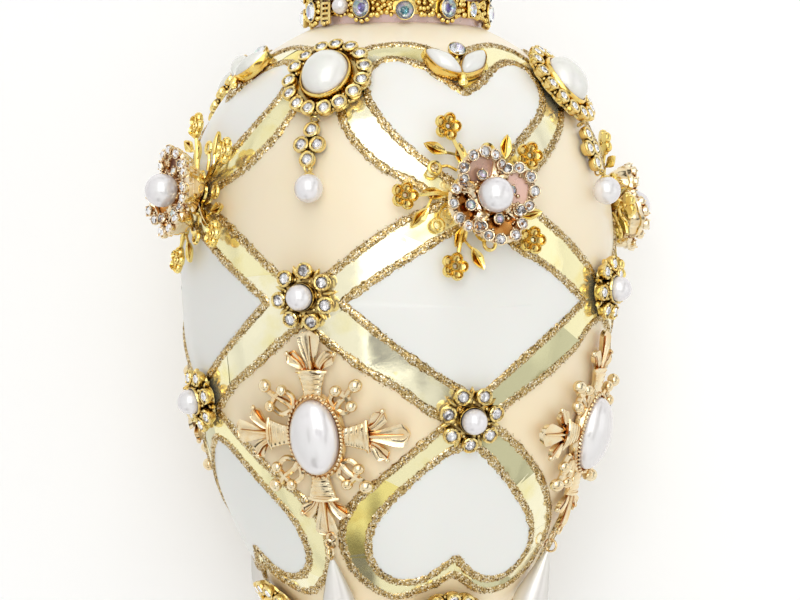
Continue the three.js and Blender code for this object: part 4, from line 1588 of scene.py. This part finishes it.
def lily_cross():
    """A long oval pearl in a beaded bezel, with four lily arms and a spray in each corner."""
    jewel = Jewel()

    def add(*shapes):
        jewel.add("setting", "champagne", *shapes)

    outline = oval(LILY_PEARL[0] + 0.55, LILY_PEARL[1] + 0.55)
    add(dish(56, outline, [[1.06, 0], [1.1, 0.5], [1.09, 1.5], [1.04, 2.1], [0.97, 2.0], [0.5, 1.7]]))
    for i in range(LILY_BEADS):
        angle = 2 * math.pi * (i + 0.5) / LILY_BEADS
        bead = ball(0.46, 7, 5).stretch(0.8, 1.15, 1).turn(math.degrees(angle) + 35)
        add(bead.move(*at_angle(angle, outline(angle) * 1.02), 2.3))
    for k in range(4):
        add(*[shape.move(LILY_ARM_STARTS[k % 2]).turn(90 * k) for shape in lily_arm()])
    for spray in LILY_SPRAYS:
        add(*lily_spray(spray))
    add(hoop(0.95, 0.34, 16, 7).move(*LILY_LOOP))
    rise = [(1.0, 1.9)] + [(math.cos(t), 2.4 + 3.95 * math.sin(t)) for t in np.linspace(0, 1.5, 15)]
    jewel.add("pearl", "long_pearl", dish(56, oval(*LILY_PEARL), rise, LILY_PEARL_TOP))
    return jewel


# Teardrops

TEARDROP_RADIUS = 3.9
TEARDROP_TIP = 12.4
TEARDROP_BELOW_RING = 2
TEARDROP_LEAN = 15.5


def teardrop_bead():
    """A long pearl, its pointed end towards the collar and its round end leaning off the egg."""
    profile = curve_through([(0.05, -4.6, 0), (1.9, -4.3, 0), (3.3, -2.9, 0), (TEARDROP_RADIUS, 0, 0),
                             (3.4, 2.9, 0), (2.35, 6.6, 0), (1.3, 10.0, 0), (0.45, TEARDROP_TIP, 0)], 4)
    bead = dish(36, round_outline(1), profile[:, :2], TEARDROP_TIP + 0.1)
    return bead.turn(-90, "X").turn(-TEARDROP_LEAN, "X").move(z=TEARDROP_RADIUS + 0.1)


def dress_teardrops():
    axis, height, misses = ROWS["teardrop"]
    ring = hoop(1.35, 0.28, 20, 7).turn(90, "Y").move(0, -1.2, 1.6)
    link = hoop(1.1, 0.26, 18, 7).move(0, 0.8, 0.9)
    for quarter, side in enumerate(SIDES[axis]):
        turn, rise = misses[quarter]
        azimuth, level = axis + 90 * quarter + turn, height + rise
        top = spot(azimuth, level)
        under = spot(azimuth, walk(level, -TEARDROP_BELOW_RING - TEARDROP_TIP))
        bead = laid([("satin_pearl", teardrop_bead())], under)
        mesh_piece(f"teardrop_pearl_{side}", bead, [f"teardrop_{side}"])
        rings = laid([("champagne", ring), ("champagne", link)], top)
        mesh_piece(f"teardrop_rings_{side}", rings)


# The camera and the light

VIEW_DISTANCE = 560
VIEW_RISE = 0.7
FOCAL_PIXELS = 2412
IMAGE_WIDTH, IMAGE_HEIGHT = 800, 600
AXIS_POINT = (0, 0, -0.5)
AXIS_PIXEL = (397.6, 265)
LIT_POINT = (0, 0, -5)
FLOOR_HALF = 3.0
FLOOR_BELOW = 0.00005
# The soft boxes: degrees right of and above the camera, metres away, size, watts, whether metal
# and glass mirror it.
SOFT_BOXES = {
    "key_box": (-2, 16, 0.95, (0.66, 1.5), 3.9, True),
    "window_box": (-8, 17, 0.9, (0.15, 0.18), 0.36, True),
    "top_box": (0, 74, 0.9, (0.5, 0.5), 1.3, False),
    "low_box": (0, -56, 0.9, (0.5, 0.5), 1.2, False),
    "left_box": (-70, 4, 1.0, (0.5, 1.2), 0.12, True),
    "right_box": (66, 0, 1.0, (0.5, 1.2), 0.5, True),
}
CARD_AWAY = 0.8
CARD_HALF = 0.2
CARD_ANGLES = (-21, -9)


def row_point(point):
    return Vector(ROW[:3, :3] @ np.array(point) + ROW[:3, 3])


def make_camera():
    """A camera level with the widest ring, turned so that a point of the axis falls on its pixel."""
    rise = math.radians(VIEW_RISE)
    eye = np.array(AXIS_POINT) + VIEW_DISTANCE * np.array([0, -math.cos(rise), math.sin(rise)])
    ahead = (np.array(AXIS_POINT) - eye) / VIEW_DISTANCE
    right = np.array([1.0, 0, 0])
    up = np.cross(right, ahead)
    ahead = ahead + right * (IMAGE_WIDTH / 2 - AXIS_PIXEL[0]) / FOCAL_PIXELS
    ahead = ahead - up * (IMAGE_HEIGHT / 2 - AXIS_PIXEL[1]) / FOCAL_PIXELS
    ahead /= np.linalg.norm(ahead)
    right = np.cross(ahead, [0, 0, 1])
    right /= np.linalg.norm(right)
    up = np.cross(right, ahead)
    data = bpy.data.cameras.new("camera")
    data.lens = FOCAL_PIXELS / IMAGE_WIDTH * data.sensor_width
    data.clip_start = 0.01
    camera = bpy.data.objects.new("camera", data)
    bpy.context.scene.collection.objects.link(camera)
    turn = ROW[:3, :3] / MM @ np.stack([right, up, -ahead], axis=1)
    camera.matrix_world = Matrix.Translation(row_point(eye)) @ Matrix(turn.tolist()).to_4x4()
    bpy.context.scene.camera = camera
    return camera


def soft_light(camera, name, right, up, distance, size, power, mirrored):
    """A soft box that faces the egg, its place given by angles seen from there."""
    turn = camera.matrix_world.to_3x3()
    a, e = math.radians(right), math.radians(up)
    away = turn @ Vector((math.sin(a) * math.cos(e), math.sin(e), math.cos(a) * math.cos(e)))
    data = bpy.data.lights.new(name, "AREA")
    data.shape = "RECTANGLE"
    data.size, data.size_y = size
    data.energy = power
    light = bpy.data.objects.new(name, data)
    bpy.context.scene.collection.objects.link(light)
    place = Matrix.Translation(row_point(LIT_POINT) + away * distance)
    light.matrix_world = place @ away.to_track_quat("Z", "Y").to_matrix().to_4x4()
    light.visible_camera = False
    light.visible_glossy = mirrored


def stage_piece(name, points, finish):
    """A flat four-cornered piece of the stage."""
    mesh = bpy.data.meshes.new(name)
    mesh.from_pydata(points, [], [(0, 1, 2, 3)])
    mesh.materials.append(finish.material)
    piece = bpy.data.objects.new(name, mesh)
    bpy.context.scene.collection.objects.link(piece)
    return piece


def grey_card(camera):
    """A dull card just below the lens, which pearls and metal show as a darker bar."""
    low, high = (CARD_AWAY * math.tan(math.radians(degrees)) for degrees in CARD_ANGLES)
    corners = [(-CARD_HALF, low), (CARD_HALF, low), (CARD_HALF, high), (-CARD_HALF, high)]
    turn = camera.matrix_world.to_3x3()
    points = [tuple(row_point(LIT_POINT) + turn @ Vector((x, y, CARD_AWAY))) for x, y in corners]
    finish = Finish("grey_card", Base_Color=(0.22, 0.22, 0.24, 1), Roughness=0.8)
    card = stage_piece("grey_card", points, finish)
    card.visible_camera = False
    card.visible_shadow = False


def make_floor():
    corners = [(-FLOOR_HALF, -FLOOR_HALF, 0), (FLOOR_HALF, -FLOOR_HALF, 0), (FLOOR_HALF, FLOOR_HALF, 0),
               (-FLOOR_HALF, FLOOR_HALF, 0)]
    finish = Finish("pale_floor", Roughness=0.7, Emission_Color=WHITE, Emission_Strength=0.07)
    clouds = finish.use(MOTTLE, Colour_A=srgb(255, 255, 254), Colour_B=srgb(252, 252, 251), Scale=4.0)
    finish.feed(Base_Color=clouds["Colour"])
    floor = stage_piece("floor", corners, finish)
    floor.location.z = -FLOOR_BELOW


def make_world():
    """A white tent with a few soft dark gaps, dimmer to the left, which the camera sees as white."""
    world = bpy.data.worlds.new("tent")
    world.use_nodes = True
    bpy.context.scene.world = world
    tree = world.node_tree
    around = add_node(tree, "TexCoord").outputs["Generated"]
    noise = add_node(tree, "TexNoise", Vector=around, Scale=2.1, Detail=1.0).outputs["Fac"]
    gaps = add_node(tree, "ValToRGB", Fac=noise)
    dark, light = gaps.color_ramp.elements
    dark.position, dark.color = 0.37, (0.09, 0.08, 0.07, 1)
    light.position, light.color = 0.43, (0.88, 0.88, 0.89, 1)
    sideways = add_node(tree, "SeparateXYZ", Vector=around).outputs["X"]
    glow = spread(tree, sideways, -0.9, 0.2, 0.3, 0.6)
    ray = add_node(tree, "LightPath").outputs
    soft = mixed(tree, ray["Is Diffuse Ray"], gaps.outputs["Color"], glow)
    seen = mixed(tree, ray["Is Camera Ray"], soft, WHITE)
    set_inputs(tree.nodes["Background"], Color=seen, Strength=1.0)


def make_stage():
    camera = make_camera()
    make_world()
    make_floor()
    for name, box in SOFT_BOXES.items():
        soft_light(camera, name, *box)
    grey_card(camera)
    bpy.context.scene.view_settings.view_transform = "Standard"


make_stage()
dress_egg()
dress_collar()
dress("medallion", "medallion", medallion, {"setting": ["medallion"], "cabochon": ["medallion_pearl"]})
dress("base", "base_medallion", medallion, {"setting": ["base_medallion"], "cabochon": ["base_pearl"]})
dress_drops()
dress("twin", "twin_leaf", twin_leaf, {"setting": ["twin_leaf"]})
dress("rose", "sprig", sprig, {"setting": ["sprig"]})
dress("rose", "rose", rose, {"setting": ["rose"], "heart": ["rose_pearl"]})
dress("waist", "waist_cluster", lambda: cluster(WAIST_TURN), {"setting": ["waist_cluster"]})
dress("low", "low_cluster", lambda: cluster(LOW_TURN), {"setting": ["low_cluster"]})
dress("lily", "lily_cross", lily_cross, {"setting": ["lily_cross"], "pearl": ["lily_pearl"]},
      bend=LILY_BEND)
dress_teardrops()
